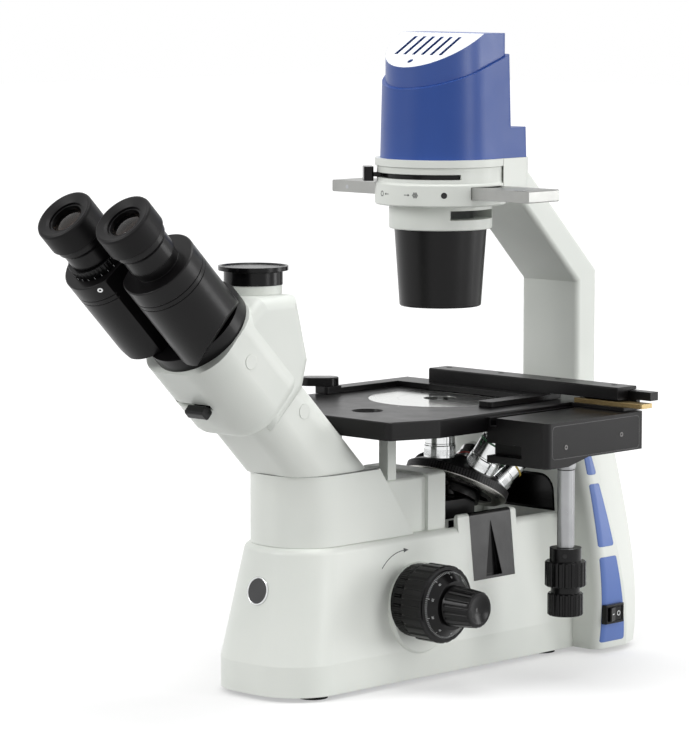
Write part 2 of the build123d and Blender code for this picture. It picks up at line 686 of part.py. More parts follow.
def lens(radius, z, rim, crown):
    """Plano-convex lens, flat side up, with a cylindrical rim."""
    bend = (radius ** 2 + crown ** 2) / (2 * crown)
    return disc(radius, z, z + crown + rim) & Pos(0, 0, z + bend) * Sphere(bend)


save("condenser_lens", lens(cone_inner(LENS_Z + 3) - SEAT, LENS_Z, 4, 3))

# Lamp housing: rounded front, flat sides and back, a step at the back, and a sloping shoulder
def lamp_plan(radius, back, z):
    face = make_face([
        ThreePointArc((-radius, 0), (0, -radius), (radius, 0)),
        Polyline((radius, 0), (radius, back), (-radius, back), (-radius, 0)),
    ])
    return Pos(0, 0, z) * fillet(face.vertices().sort_by(Axis.Y)[-2:], LAMP_CORNER)


def shoulder(y):
    return SHOULDER_Z + SHOULDER_SLOPE * y


def lamp_form(inset, z):
    high = extrude(lamp_plan(LAMP_R - inset, LAMP_BACK - inset, z), CAP_TOP - z, taper=LAMP_TAPER)
    step = LAMP_STEP_Z - inset - z
    low = extrude(lamp_plan(LAMP_R - inset, LAMP_BACK_LOW - inset, z), step, taper=LAMP_TAPER)
    return high + low


under_shoulder = across((-90, 0), (90, 0), (90, shoulder(90)), (-90, shoulder(-90)), half=DEEP)
lamp = (lamp_form(0, CARRIER_TOP) & under_shoulder) - lamp_form(LAMP_WALL, CARRIER_TOP)
save("lamp_housing", lamp)

cap_outline = [
    (-90, shoulder(-90)),
    (90, shoulder(90)),
    (90, CAP_TOP),
    (CAP_RIDGE_Y, CAP_TOP),
    (-CAP_R, CAP_FRONT_Z),
    (-90, CAP_FRONT_Z - (90 - CAP_R) * (CAP_TOP - CAP_FRONT_Z) / (CAP_RIDGE_Y + CAP_R)),
]
cap = extrude(lamp_plan(CAP_R, CAP_BACK, CARRIER_TOP), DEEP) & across(*cap_outline, half=DEEP)
lamp_cap_room = extrude(lamp_plan(CAP_R - CAP_WALL, CAP_BACK - CAP_WALL, CARRIER_TOP), DEEP)
lamp_cap = cap - (lamp_cap_room & (Pos(0, 0, -CAP_WALL) * across(
    (-90, 0), (90, 0), *cap_outline[2:], half=DEEP,
)))
for vent in range(VENT_COUNT):
    vent_x = (vent - (VENT_COUNT - 1) / 2) * VENT_PITCH
    lamp_cap -= span((vent_x - VENT_W / 2, vent_x + VENT_W / 2), (-26, -3), (CARRIER_TOP + 40, 3 * DEEP))
lamp_cap -= disc(2.2, CARRIER_TOP + 40, 3 * DEEP, 0, -34)
# The cap's rim is wider than the housing's opening, so it lands on the sloping wall all round
rim_in = LAMP_R - LAMP_WALL - 4
rim = extrude(lamp_plan(CAP_R, CAP_BACK, CARRIER_TOP), DEEP) & across(
    (-90, shoulder(-90)), (90, shoulder(90)), (90, shoulder(90) + 2), (-90, shoulder(-90) + 2), half=DEEP,
)
lamp_cap += rim - extrude(lamp_plan(rim_in, CAP_BACK - 5, CARRIER_TOP), DEEP)
save("lamp_cap", lamp_cap)

lamp_module = tube(LAMP_TUBE[1], LAMP_TUBE[0], CARRIER_TOP, LAMP_BOARD_Z)
lamp_module += disc(LAMP_TUBE[1] + 2, LAMP_BOARD_Z, LAMP_BOARD_Z + 4)
lamp_module += disc(4, LAMP_BOARD_Z - 3, LAMP_BOARD_Z)
for fin in range(FIN_COUNT):
    fin_x = (fin - (FIN_COUNT - 1) / 2) * 6
    lamp_module += span((fin_x - 1, fin_x + 1), (-18, 18), (LAMP_BOARD_Z + 4, LAMP_BOARD_Z + 26))
save("lamp_module", lamp_module)

# Stage plate with cut front corners, a stepped bore and a finger recess
stage_under = STAGE_Z - STAGE_T
stage_face = make_face(Polyline(
    (-STAGE_CUT_X, STAGE_FRONT),
    (STAGE_CUT_X, STAGE_FRONT),
    (STAGE_HALF, STAGE_CUT_Y),
    (STAGE_HALF, STAGE_BACK),
    (-STAGE_HALF, STAGE_BACK),
    (-STAGE_HALF, STAGE_CUT_Y),
    (-STAGE_CUT_X, STAGE_FRONT),
))
stage = extrude(Pos(0, 0, stage_under) * stage_face, STAGE_T)
stage = fillet(stage.edges().filter_by(Axis.Z), STAGE_ROUND)
stage = chamfer(stage.faces().sort_by(Axis.Z)[-1].edges(), 0.8)
stage -= disc(STAGE_BORE, 0, DEEP * 2)
stage -= disc(INSERT_R, STAGE_Z - INSERT_T, DEEP * 2)
FINGER = (14.0, -95.0, 13.0)
stage -= Pos(FINGER[0], FINGER[1], STAGE_Z + 5) * Sphere(FINGER[2]) - disc(INSERT_R + 2, 0, DEEP * 2)
stage -= oblique(ELBOW_HALF + SLIDE, ELBOW_LOW, ELBOW_HIGH + SLIDE, ELBOW_CORNER, 150, 400)
save("stage_plate", stage)
save("stage_insert", tube(INSERT_R - 0.2, CENTRE_R, STAGE_Z - INSERT_T, STAGE_Z))
save("insert_centre", tube(CENTRE_R - SEAT, CENTRE_BORE, STAGE_Z - INSERT_T, STAGE_Z))

# Stage drive: housing bolted to the right edge of the stage
drive = span(DRIVE_X, DRIVE_Y, DRIVE_Z)
drive = fillet(drive.edges().filter_by(Axis.Z).sort_by(Axis.X)[-2:], 4)
drive -= across(
    (DRIVE_STEP_Y[0], DRIVE_Z[0]),
    (DRIVE_STEP_Y[1], DRIVE_STEP_Z),
    (DEEP, DRIVE_STEP_Z),
    (DEEP, DRIVE_Z[0]),
    half=DEEP,
)
drive -= span((GROOVE_X - GROOVE_HALF, GROOVE_X + GROOVE_HALF), (-2 * DEEP, DEEP), (GROOVE_Z, DEEP * 2))
drive -= span(DRIVE_SLOT_X, (-DEEP, DRIVE_Y[0] + DRIVE_SLOT_DEPTH), DRIVE_SLOT_Z)
cover_y = (DRIVE_Y[0] + 6, DRIVE_Y[1] - 6)
drive_cover = span((DRIVE_X[1] - DRIVE_COVER_T, DRIVE_X[1]), cover_y, (DRIVE_STEP_Z + 1.5, DRIVE_Z[1] - 3))
drive_cover = fillet(drive_cover.edges().filter_by(Axis.X), 3)
drive -= drive_cover
drive -= disc(SLEEVE_R, 0, GROOVE_Z - 8, COLUMN_X, COLUMN_Y)
save("drive_housing", drive)
save("drive_cover", drive_cover)
save("drive_sleeve", tube(SLEEVE_R - SEAT, TUBE_R + RUN, SLEEVE_Z + SLIDE, GROOVE_Z - 8, COLUMN_X, COLUMN_Y))
column = Pos(COLUMN_X, COLUMN_Y, 0)
long_knob = ribbed(KNOB_UP_R, *KNOB_UP, KNOB_RIBS, 0.9) + disc(KNOB_COLLAR_R, KNOB_UP[1], SLEEVE_Z)
long_knob += disc(TUBE_R, SLEEVE_Z, GROOVE_Z - 9)
long_knob -= disc(ROD_R + RUN, 0, DEEP * 2)
save("long_travel_knob", column * long_knob)
cross_knob = ribbed(KNOB_LOW_R, *KNOB_LOW, KNOB_RIBS, 0.9)
cross_knob += disc(KNOB_LOW_R - 2.4, KNOB_LOW[1], KNOB_UP[0] - SLIDE)
cross_knob += disc(ROD_R, KNOB_UP[0] - SLIDE, GROOVE_Z - 9)
save("cross_travel_knob", column * cross_knob)

# Cross rail on a foot that slides along the housing's groove, with a rack strip beneath
rail = span(RAIL_X, RAIL_BAR_Y, RAIL_BAR_Z)
foot_x = (DRIVE_X[0] + 2, DRIVE_X[1] - 6)
foot_y = (BAR_Y[0], RAIL_BAR_Y[1] - 3)
tongue_x = (GROOVE_X - GROOVE_HALF + SLIDE, GROOVE_X + GROOVE_HALF - SLIDE)
rail_foot = span(foot_x, foot_y, (DRIVE_Z[1] + SLIDE, RACK_Z[0]))
rail_foot += span(foot_x, (RACK_Y[1], foot_y[1]), (RACK_Z[0], RAIL_BAR_Z[0]))
rail_foot += span(tongue_x, foot_y, (GROOVE_Z + SLIDE, DRIVE_Z[1] + SLIDE))
save("cross_rail", rail + rail_foot)
save("cross_rack", span((foot_x[0], RAIL_X[1]), RACK_Y, RACK_Z))

# Carriage bar with a lip over the rail, plate holder beneath it, and a clamp lever
bar = span(BAR_X, BAR_Y, BAR_Z) + span(BAR_X, (BAR_Y[1], RAIL_BAR_Y[1]), (RAIL_BAR_Z[1] + SLIDE, BAR_Z[1]))
bar = chamfer(bar.edges().filter_by(Axis.X).sort_by(Axis.Z)[-2:], 0.8)
bar += span((BAR_X[0], HOLDER_RIGHT[1]), BAR_Y, (HOLDER_Z[1], BAR_Z[0]))
save("carriage_bar", bar)
holder = span((HOLDER_LEFT[0], HOLDER_RIGHT[1]), (HOLDER_BACK_Y, BAR_Y[1]), HOLDER_Z)
holder += span(HOLDER_LEFT, (HOLDER_TIP_Y, HOLDER_BACK_Y), HOLDER_Z)
holder += span(HOLDER_RIGHT, (HOLDER_RIGHT_Y, HOLDER_BACK_Y), HOLDER_Z)
holder = fillet(holder.edges().filter_by(Axis.Z).sort_by(Axis.Y)[:4], 3)
tip_y = (HOLDER_TIP_Y, HOLDER_TIP_Y + HOLDER_BLOCK)
clamp_z = HOLDER_Z[1] + HOLDER_BLOCK_T
holder += fillet(span(HOLDER_LEFT, tip_y, (HOLDER_Z[0], clamp_z)).edges().filter_by(Axis.Z), 3)
holder += disc(CLAMP_PIN_R, clamp_z, clamp_z + CLAMP_T - 1, *CLAMP_PIVOT)
save("plate_holder", holder)
clamp_face = SlotCenterToCenter(CLAMP_LEN - 2 * CLAMP_R, 2 * CLAMP_R)
clamp = extrude(Pos(-CLAMP_LEN / 2 + CLAMP_R, 0) * clamp_face, CLAMP_T)
clamp = fillet(clamp.faces().sort_by(Axis.Z)[-1].edges(), 1)
clamp -= disc(CLAMP_PIN_R + RUN, -1, CLAMP_T - 1)
save("clamp_lever", Pos(*CLAMP_PIVOT, clamp_z + SLIDE) * Rot(0, 0, CLAMP_REST) * clamp)

# Nosepiece: the turret's axis leans back, so one objective stands upright on the optical axis
shoulder_z = STAGE_Z - PARFOCAL
reach = MOUNT_R / sin(radians(NOSE_TILT))
apex = (0, 0, shoulder_z - reach)
nose = Plane(apex, x_dir=(1, 0, 0), z_dir=(0, sin(radians(NOSE_TILT)), cos(radians(NOSE_TILT))))
seat_h = reach * cos(radians(NOSE_TILT))


def station(turn):
    """Frame of an objective seat: origin on the seat, Z out along the objective."""
    lean = nose.location * Rot(0, 0, turn) * Rot(NOSE_TILT, 0, 0)
    return lean * Pos(0, 0, reach)


turret = turned(
    (TURRET_BORE, TURRET_LOW),
    (TURRET_R - 3, TURRET_LOW),
    (TURRET_R, TURRET_LOW + 2.5),
    (TURRET_R, TURRET_RIM),
    (TURRET_R - 1.5, TURRET_RIM + 1),
    (MOUNT_R - 9, seat_h + 7),
    (TURRET_BORE, seat_h + 8),
)
turret = nose.location * turret
SEAT_R = 12.4
for index in range(STATIONS):
    here = station(360 * index / STATIONS)
    turret += here * disc(SEAT_R, -9, 0)
for index in range(STATIONS):
    here = station(360 * index / STATIONS)
    turret -= here * disc(8, -40, 1)
    turret -= here * disc(SEAT_R + SLIDE, 0, 40)
turret -= nose.location * disc(TURRET_R + 10, 0, TURRET_LOW)
turret -= nose.location * disc(TURRET_BORE, 0, 2 * seat_h)


def objective(length, tip_r, sleeve):
    """Barrel with a threaded root, a knurled band, a stepped body and a cone to the front lens."""
    return turned(
        (3.2, -6),
        (8 - SEAT, -6),
        (8 - SEAT, 0),
        (OBJECTIVE_R, 0),
        (OBJECTIVE_R, 9),
        (OBJECTIVE_R - 0.6, 9.6),
        (OBJECTIVE_R - 0.6, sleeve),
        (OBJECTIVE_R - 2.2, sleeve + 1.6),
        (OBJECTIVE_R - 2.2, length - 6),
        (tip_r, length),
        (3.2, length),
    )


BARRELS = ((36.0, 7.0, 24.0), (37.5, 5.0, 27.0), (36.5, 6.0, 22.0), (33.0, 6.5, 20.0))
save("objectives", *[
    station(360 * place / STATIONS) * objective(*barrel) for place, barrel in enumerate(BARRELS)
])
plug = turned(
    (0, -5), (8 - SEAT, -5), (8 - SEAT, 0), (SEAT_R - 1, 0), (SEAT_R - 1, 4), (SEAT_R - 2, 5), (0, 5),
)
save("turret", turret, station(360 * len(BARRELS) / STATIONS) * plug)

# Nosepiece carrier: leaning disc with the turret's pivot, a bracket, and the focus slide with its rack
turret_pivot = disc(TURRET_BORE - RUN, CARRIER_DISC[1], seat_h + 8)
carrier_disc = nose.location * (disc(CARRIER_DISC_R, *CARRIER_DISC) + turret_pivot)
SLIDE_Y = (WELL_Y0 + 2.0, WELL_Y0 + 10.0)
SLIDE_Z = (44.0, 132.0)
GUIDE_HALF = 8.0         # rail on the pedestal that the focus slide runs on
GUIDE_Y = WELL_Y0 + 6.0
GUIDE_LOW = DECK_Z + 2.0
focus_slide = span((-20, 20), SLIDE_Y, SLIDE_Z)
guide_room = GUIDE_HALF + SLIDE
focus_slide -= span((-guide_room, guide_room), (-DEEP, GUIDE_Y + SLIDE), (GUIDE_LOW - 12, DEEP))
bracket = span((-16, 16), (SLIDE_Y[1], 22), (112, 126)) - (nose.location * disc(DEEP, CARRIER_DISC[1], DEEP))
pitch_r = PINION_MODULE * PINION_TEETH / 2
rack_root_y = FOCUS_Y + pitch_r + 1.25 * PINION_MODULE
rack_arm = span((-PINION_HALF, PINION_HALF), (rack_root_y, SLIDE_Y[0]), (SLIDE_Z[0], 84))
TOOTH_ROOM = 0.55        # slack left in the mesh, as a share of the module
tooth_pitch = pi * PINION_MODULE


def rack_tooth(z):
    root_half = tooth_pitch * 0.25 + 0.94 * PINION_MODULE * tan(radians(20)) - TOOTH_ROOM * PINION_MODULE / 2
    tip_half = root_half - 1.9 * PINION_MODULE * tan(radians(20))
    return across(
        (rack_root_y, z - root_half),
        (FOCUS_Y + pitch_r - 0.9 * PINION_MODULE, z - tip_half),
        (FOCUS_Y + pitch_r - 0.9 * PINION_MODULE, z + tip_half),
        (rack_root_y, z + root_half),
        half=PINION_HALF,
    )


for tooth in range(RACK_TEETH):
    rack_arm += rack_tooth(FOCUS_Z + (tooth - (RACK_TEETH - 1) / 2) * tooth_pitch)
nosepiece_carrier = carrier_disc + focus_slide + bracket + rack_arm
nosepiece_carrier -= disc(LIGHT_R, 0, DEEP)
save("nosepiece_carrier", nosepiece_carrier)

# Coarse shaft with its pinion, running through both bosses
pinion = disc(pitch_r - 1.2 * PINION_MODULE, -PINION_HALF, PINION_HALF)
tooth_tip = pitch_r + 0.9 * PINION_MODULE
for tooth in range(PINION_TEETH):
    blade = make_face(Polyline(
        (pitch_r - 1.4 * PINION_MODULE, -0.34 * tooth_pitch + TOOTH_ROOM / 4),
        (tooth_tip, -0.08 * tooth_pitch),
        (tooth_tip, 0.08 * tooth_pitch),
        (pitch_r - 1.4 * PINION_MODULE, 0.34 * tooth_pitch - TOOTH_ROOM / 4),
        close=True,
    ))
    turn = 360 * (tooth + 0.5) / PINION_TEETH
    pinion += Rot(0, 0, turn) * Pos(0, 0, -PINION_HALF) * extrude(blade, 2 * PINION_HALF)
coarse_shaft = pinion
for side in (0, 180):
    shoulder_x = PINION_HALF
    step = disc(pitch_r - 1.4 * PINION_MODULE, PINION_HALF, PINION_HALF + 4)
    step += disc(COARSE_TUBE[1], PINION_HALF + 4, COARSE_X[0] + 6)
    coarse_shaft += Rot(side, 0, 0) * step
coarse_shaft -= disc(COARSE_TUBE[0], -DEEP, DEEP)
save("coarse_shaft", focus_line * Rot(0, 0, 90) * coarse_shaft)

coarse_knob = ribbed(COARSE_R, *COARSE_X, COARSE_RIBS, 1.0)
coarse_knob += turned(
    (0, COARSE_X[1]), (COARSE_R - 3, COARSE_X[1]), (DIAL_R, DIAL_X), (0, DIAL_X),
)
coarse_knob -= disc(COARSE_TUBE[1] + SEAT, 0, COARSE_X[0] + 6)
coarse_knob -= disc(FINE_ROD_R + RUN, 0, DEEP)
save("coarse_knobs", focus_line * coarse_knob, focus_line * Rot(180, 0, 0) * coarse_knob)
tension = ribbed(TENSION_R, *TENSION_X, TENSION_RIBS, 0.8) - disc(COARSE_TUBE[1] + RUN, 0, DEEP)
save("tension_ring", focus_line * tension)

# Fine knobs on a rod through the hollow coarse shaft
fine_knob = turned(
    (0, FINE_X[0]),
    (FINE_R[0] - 1, FINE_X[0]),
    (FINE_R[0], FINE_X[0] + 1),
    (FINE_R[1], FINE_X[1] - 1.2),
    (FINE_R[1] - 1.2, FINE_X[1]),
    (0, FINE_X[1]),
)
dish_r = (FINE_DISH[0] ** 2 + FINE_DISH[1] ** 2) / (2 * FINE_DISH[1])
fine_knob -= Pos(0, 0, FINE_X[1] - FINE_DISH[1] + dish_r) * Sphere(dish_r)
fine_taper = degrees(atan2(FINE_R[0] - FINE_R[1], FINE_X[1] - FINE_X[0]))
for flute in range(FINE_FLUTES):
    cut = Pos(FINE_R[0] + 0.8, 0, FINE_X[0]) * Rot(0, -fine_taper, 0) * disc(FINE_FLUTE_R, 2.5, FINE_X[1])
    fine_knob -= Rot(0, 0, 360 * flute / FINE_FLUTES) * cut
fine_rod = disc(FINE_ROD_R, -FINE_X[0], FINE_X[0])
save("fine_focus", focus_line * (fine_knob + fine_rod + Rot(180, 0, 0) * fine_knob))

# Folding mirror under the objective
mirror_seat = across((-14, 22), (22, 22), (22, 58), half=13) & disc(DEEP, plate_z + PLATE_T, DEEP)
mirror_seat += span((-10, 10), (6, 20), (plate_z + PLATE_T, 24))
save("folding_mirror", mirror_seat)

# Neck cover on the deck and the pedestal that carries the front of the stage
neck_side = across(
    (NECK_FRONT - 10, DECK_Z),
    (NECK_BACK_LOW, DECK_Z),
    (NECK_BACK_TOP, SEAM_Z),
    (NECK_FRONT - 10, SEAM_Z),
    half=DEEP,
)
neck_plan = Pos(0, 0, DECK_Z) * front_plan(NECK_HALF, NECK_FRONT, 0, NECK_CORNER)
save("neck_cover", extrude(neck_plan, SEAM_Z - DECK_Z) & neck_side)
slant = (NECK_BACK_TOP - NECK_BACK_LOW) / (SEAM_Z - DECK_Z)
pedestal = across(
    (NECK_BACK_LOW, DECK_Z),
    (WELL_Y0, DECK_Z),
    (WELL_Y0, PEDESTAL_TOP),
    (NECK_BACK_LOW + slant * (PEDESTAL_TOP - DECK_Z), PEDESTAL_TOP),
    half=PEDESTAL_HALF,
)
pedestal = fillet(pedestal.edges().filter_by(Axis.Y).sort_by(Axis.Z)[-2:], PEDESTAL_ROUND)
flange = span((-FLANGE_HALF, FLANGE_HALF), (FLANGE_Y, WELL_Y0), (DECK_Z, PEDESTAL_TOP + 1.5))
pedestal += fillet(flange.edges().filter_by(Axis.Y).sort_by(Axis.Z)[-2:], PEDESTAL_ROUND)
for side in (-1, 1):
    post_x, post_y = side * POST_AT[0], POST_AT[1]
    pedestal += span(
        (post_x - POST_HALF, post_x + POST_HALF),
        (post_y - POST_HALF, post_y + POST_HALF),
        (PEDESTAL_TOP, stage_under),
    )
pedestal += span((-GUIDE_HALF, GUIDE_HALF), (WELL_Y0 - 1, GUIDE_Y), (GUIDE_LOW, PEDESTAL_TOP - 2))
save("stage_pedestal", pedestal)

# Head housing: an oblique snout joined to an upright trunk that carries the camera port
snout = oblique(SNOUT_HALF, SNOUT_LOW, SNOUT_HIGH, SNOUT_CORNER, SNOUT_FROM, SNOUT_TO)
snout = fillet(snout.faces().sort_by(Axis.Z)[:3].sort_by(Axis.Y)[-1].edges(), 10)
trunk = across(
    (-184.0, 228.0), (-178.0, 250.0), (-190.0, PORT_Z), (-226.0, PORT_Z), (-268.0, 262.0), (-214.0, 200.0),
    half=TRUNK_HALF,
)
trunk = fillet(trunk.faces().sort_by(Axis.X)[0].edges() + trunk.faces().sort_by(Axis.X)[-1].edges(), 9)
head_form = (snout + trunk) & oblique(DEEP, -DEEP, 3 * DEEP, 1, 0, SNOUT_TO)
lever_room = head * span(LEVER_SLOT, (SNOUT_LOW - 2, SNOUT_LOW + 12), (LEVER_S - 2.5, LEVER_S + 2.5))
head_plug = head * (Pos(SNOUT_HALF, 8, 350) * Rot(0, 90, 0) * disc(PLUG_R, -3, 0.4))
head_housing = head_form - lever_room - head_plug - disc(PORT_LIGHT, PORT_Z - 15, PORT_Z + 1, 0, PORT_Y)
save("head_housing", head_housing)

elbow = oblique(ELBOW_HALF, ELBOW_LOW, ELBOW_HIGH, ELBOW_CORNER, 150, 320)
elbow &= span((-DEEP, DEEP), (-2 * DEEP, DEEP), (SEAM_Z, 2 * DEEP))
elbow_plug = head * (Pos(ELBOW_HALF, 20, 280) * Rot(0, 90, 0) * disc(PLUG_R, -3, 0.4))
save("neck_elbow", elbow - head_form - elbow_plug)
save("blind_plugs", head_plug, elbow_plug)

# Light path lever in its slot under the snout
lever = span((-LEVER_W / 2 + 4, LEVER_W / 2 + 4), (SNOUT_LOW - 9, SNOUT_LOW - 1), (LEVER_S - 4, LEVER_S + 4))
lever = fillet(lever.edges().filter_by(Axis.X), 2)
lever += span((-2, 10), (SNOUT_LOW - 2, SNOUT_LOW + 10), (LEVER_S - 2, LEVER_S + 2))
save("light_path_lever", head * lever)

# Camera port and its dust cap
port = turned(
    (PORT_BORE, PORT_Z), (PORT_R, PORT_Z), (PORT_R, PORT_TOP), (PORT_SPIGOT_R, PORT_TOP),
    (PORT_SPIGOT_R, CAP_SKIRT_TOP - 3), (PORT_BORE, CAP_SKIRT_TOP - 3),
)
save("camera_port", Pos(0, PORT_Y, 0) * port)
port_cap = turned(
    (0, CAP_SKIRT_TOP), (PORT_SPIGOT_R + SLIDE, CAP_SKIRT_TOP), (PORT_SPIGOT_R + SLIDE, PORT_TOP),
    (CAP_SKIRT_R, PORT_TOP), (CAP_SKIRT_R, CAP_SKIRT_TOP), (CAP_FLANGE_R, CAP_SKIRT_TOP + 0.8),
    (CAP_FLANGE_R, CAP_FLANGE_TOP), (CAP_FLANGE_R - 1.6, CAP_FLANGE_TOP),
    (CAP_FLANGE_R - 2.4, CAP_FLANGE_TOP - 1), (0, CAP_FLANGE_TOP - 1),
)
save("port_cap", Pos(0, PORT_Y, 0) * port_cap)

# Bearing plate with the hinge pin that both eyepiece arms swing about
swing_t = EYE_T + (SWING_R ** 2 - (IPD / 2) ** 2) ** 0.5
bearing = disc(BEARING_R, SNOUT_TO, BEARING_S, 0, BEARING_T)
bearing += disc(HINGE_PIN_R, BEARING_S, HOUSING_S[0] + 26, 0, swing_t)
save("bearing_plate", head * bearing)

# Eyepiece arms: prism housing, tube, eyepiece, eyecup and lens on each side
room = 2 * HOUSING_R + 20
inner_low = SLIDE + room * tan(radians(SWING_IN + 0.6))
inner_high = SLIDE + room * tan(radians(SWING_OUT + 0.6))
own_side = make_face(Polyline(
    (SLIDE, swing_t), (inner_low, swing_t - room), (3 * room, swing_t - room),
    (3 * room, swing_t + room), (inner_high, swing_t + room), close=True,
))
eye_x = IPD / 2
housing = disc(HOUSING_R, *HOUSING_S, eye_x, EYE_T)
housing = chamfer(housing.edges().sort_by(Axis.Z)[-1:], 0.8)
housing &= Pos(0, 0, HOUSING_S[0]) * extrude(own_side, DEEP)
housing -= disc(HINGE_PIN_R + SLIDE, 0, HOUSING_S[0] + 27, 0, swing_t)
housing += disc(EYETUBE_R, *EYETUBE_S, eye_x, EYE_T)
housing -= disc(EYEPIECE_STEM + SEAT, EYETUBE_S[0], 3 * DEEP, eye_x, EYE_T)
for band in GROOVE_S:
    housing -= disc(DEEP, band, band + GROOVE_W) - disc(HOUSING_R - GROOVE_W, 0, 3 * DEEP, eye_x, EYE_T)
SLANT_RISE = 22.0
slant_cut = extrude(Plane.XZ * make_face(Polyline(
    (eye_x + 4, HOUSING_S[0] - 0.01),
    (eye_x + HOUSING_R + 8, HOUSING_S[0] + SLANT_RISE * 1.3),
    (eye_x + HOUSING_R + 8, HOUSING_S[0] - 0.01),
    close=True,
)), DEEP, both=True)
housing -= slant_cut
eyepiece = turned(
    (EYE_LENS_R, EYEPIECE_S[0]), (EYEPIECE_R[0], EYEPIECE_S[0]), (EYEPIECE_R[0], EYEPIECE_S[0] + 12),
    (EYEPIECE_R[1], EYEPIECE_S[0] + 15), (EYEPIECE_R[1], EYEPIECE_S[1]), (EYE_LENS_R, EYEPIECE_S[1]),
) + tube(EYEPIECE_STEM, EYE_LENS_R, EYEPIECE_S[0] - 20, EYEPIECE_S[0])
eyepiece += tube(EYE_RIM_R, EYE_LENS_R, EYEPIECE_S[1], EYECUP_S[1] - 4)
eyecup = turned(
    (EYE_RIM_R + SEAT, EYEPIECE_S[1]), (EYEPIECE_R[1] + SEAT, EYEPIECE_S[1]),
    (EYEPIECE_R[1] + SEAT, EYECUP_S[0]), (EYECUP_R - 0.6, EYECUP_S[0]), (EYECUP_R, EYECUP_S[0] + 0.6),
    (EYECUP_R, EYECUP_S[1] - 2), (EYECUP_R - 0.6, EYECUP_S[1] - 0.6), (EYECUP_R - 2, EYECUP_S[1]),
    (EYE_RIM_R + 2, EYECUP_S[1] - 1.6), (EYE_RIM_R + SEAT, EYECUP_S[1] - 2.6),
)
eye_lens = Pos(0, 0, EYECUP_S[1] - 5) * Rot(180, 0, 0) * lens(EYE_LENS_R - SEAT, 0, 3, 2.5)
on_axis = Pos(eye_x, EYE_T, 0)
sides = {"right": lambda shape: head * shape, "left": lambda shape: mirrored(head * shape)}
for side_name, place in sides.items():
    save(f"{side_name}_prism_housing", place(housing))
    save(f"{side_name}_eyepiece", place(on_axis * eyepiece))
    save(f"{side_name}_eyecup", place(on_axis * eyecup))
    save(f"{side_name}_eye_lens", place(on_axis * eye_lens))
dioptre = ribbed(DIOPTER_R, *DIOPTER_S, 40, 0.4) - disc(EYETUBE_R + RUN, 0, 3 * DEEP)
save("dioptre_ring", mirrored(head * (on_axis * dioptre)))
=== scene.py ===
import math

import bmesh
import bpy
from mathutils import Matrix, Vector


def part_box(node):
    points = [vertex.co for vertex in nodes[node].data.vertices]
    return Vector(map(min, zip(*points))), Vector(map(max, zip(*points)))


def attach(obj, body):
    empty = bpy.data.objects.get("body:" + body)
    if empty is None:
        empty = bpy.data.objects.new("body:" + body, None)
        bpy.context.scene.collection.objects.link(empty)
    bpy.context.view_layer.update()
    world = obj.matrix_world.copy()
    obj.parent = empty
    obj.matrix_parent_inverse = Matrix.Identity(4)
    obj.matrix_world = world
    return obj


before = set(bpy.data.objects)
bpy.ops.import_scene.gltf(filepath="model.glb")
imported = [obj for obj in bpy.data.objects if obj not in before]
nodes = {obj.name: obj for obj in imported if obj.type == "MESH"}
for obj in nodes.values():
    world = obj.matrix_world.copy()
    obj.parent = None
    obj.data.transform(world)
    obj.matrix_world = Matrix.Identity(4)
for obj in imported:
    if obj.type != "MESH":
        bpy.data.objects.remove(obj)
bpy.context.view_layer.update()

# Painted castings: base, neck cover, oblique elbow, head, pedestal, tower, lamp arm and condenser ring.
# Cast aluminium, sprayed in one coat of off-white paint with a fine orange peel, rubbed at the edges.
MM = 0.001


class Wire:
    """One socket of a node tree, so that sums on sockets read as plain arithmetic."""

    def __init__(self, tree, socket=None):
        self.tree = tree
        self.socket = socket

    def make(self, kind, settings=None, sockets=None, out=0):
        """Any node: its settings first, then its sockets, given by name or number."""
        node = self.tree.nodes.new(kind)
        for key, value in (settings or {}).items():
            setattr(node, key, value)
        for key, value in (sockets or {}).items():
            if isinstance(value, Wire):
                self.tree.links.new(value.socket, node.inputs[key])
            else:
                node.inputs[key].default_value = value
        return Wire(self.tree, node.outputs[out])

    def math(self, operation, first, second=0.0):
        return self.make("ShaderNodeMath", {"operation": operation}, {0: first, 1: second})

    def __add__(self, other):
        return self.math("ADD", self, other)

    def __sub__(self, other):
        return self.math("SUBTRACT", self, other)

    def __mul__(self, other):
        return self.math("MULTIPLY", self, other)

    def __radd__(self, other):
        return self.math("ADD", other, self)

    def __rsub__(self, other):
        return self.math("SUBTRACT", other, self)

    def __rmul__(self, other):
        return self.math("MULTIPLY", other, self)

    def smooth(self, low, high):
        """0 below low and 1 above high, eased between."""
        limits = {0: self, 1: low, 2: high, 3: 0.0, 4: 1.0}
        return self.make("ShaderNodeMapRange", {"interpolation_type": "SMOOTHSTEP"}, limits)

    def blend(self, low, high):
        """A colour between two, by this socket."""
        return self.make("ShaderNodeMix", {"data_type": "RGBA"}, {0: self, 6: low, 7: high}, out=2)

    def vector(self, operation, other, out="Vector"):
        return self.make("ShaderNodeVectorMath", {"operation": operation}, {0: self, 1: other}, out=out)

    def axis(self, name):
        return self.make("ShaderNodeSeparateXYZ", None, {0: self}, out="XYZ".index(name))


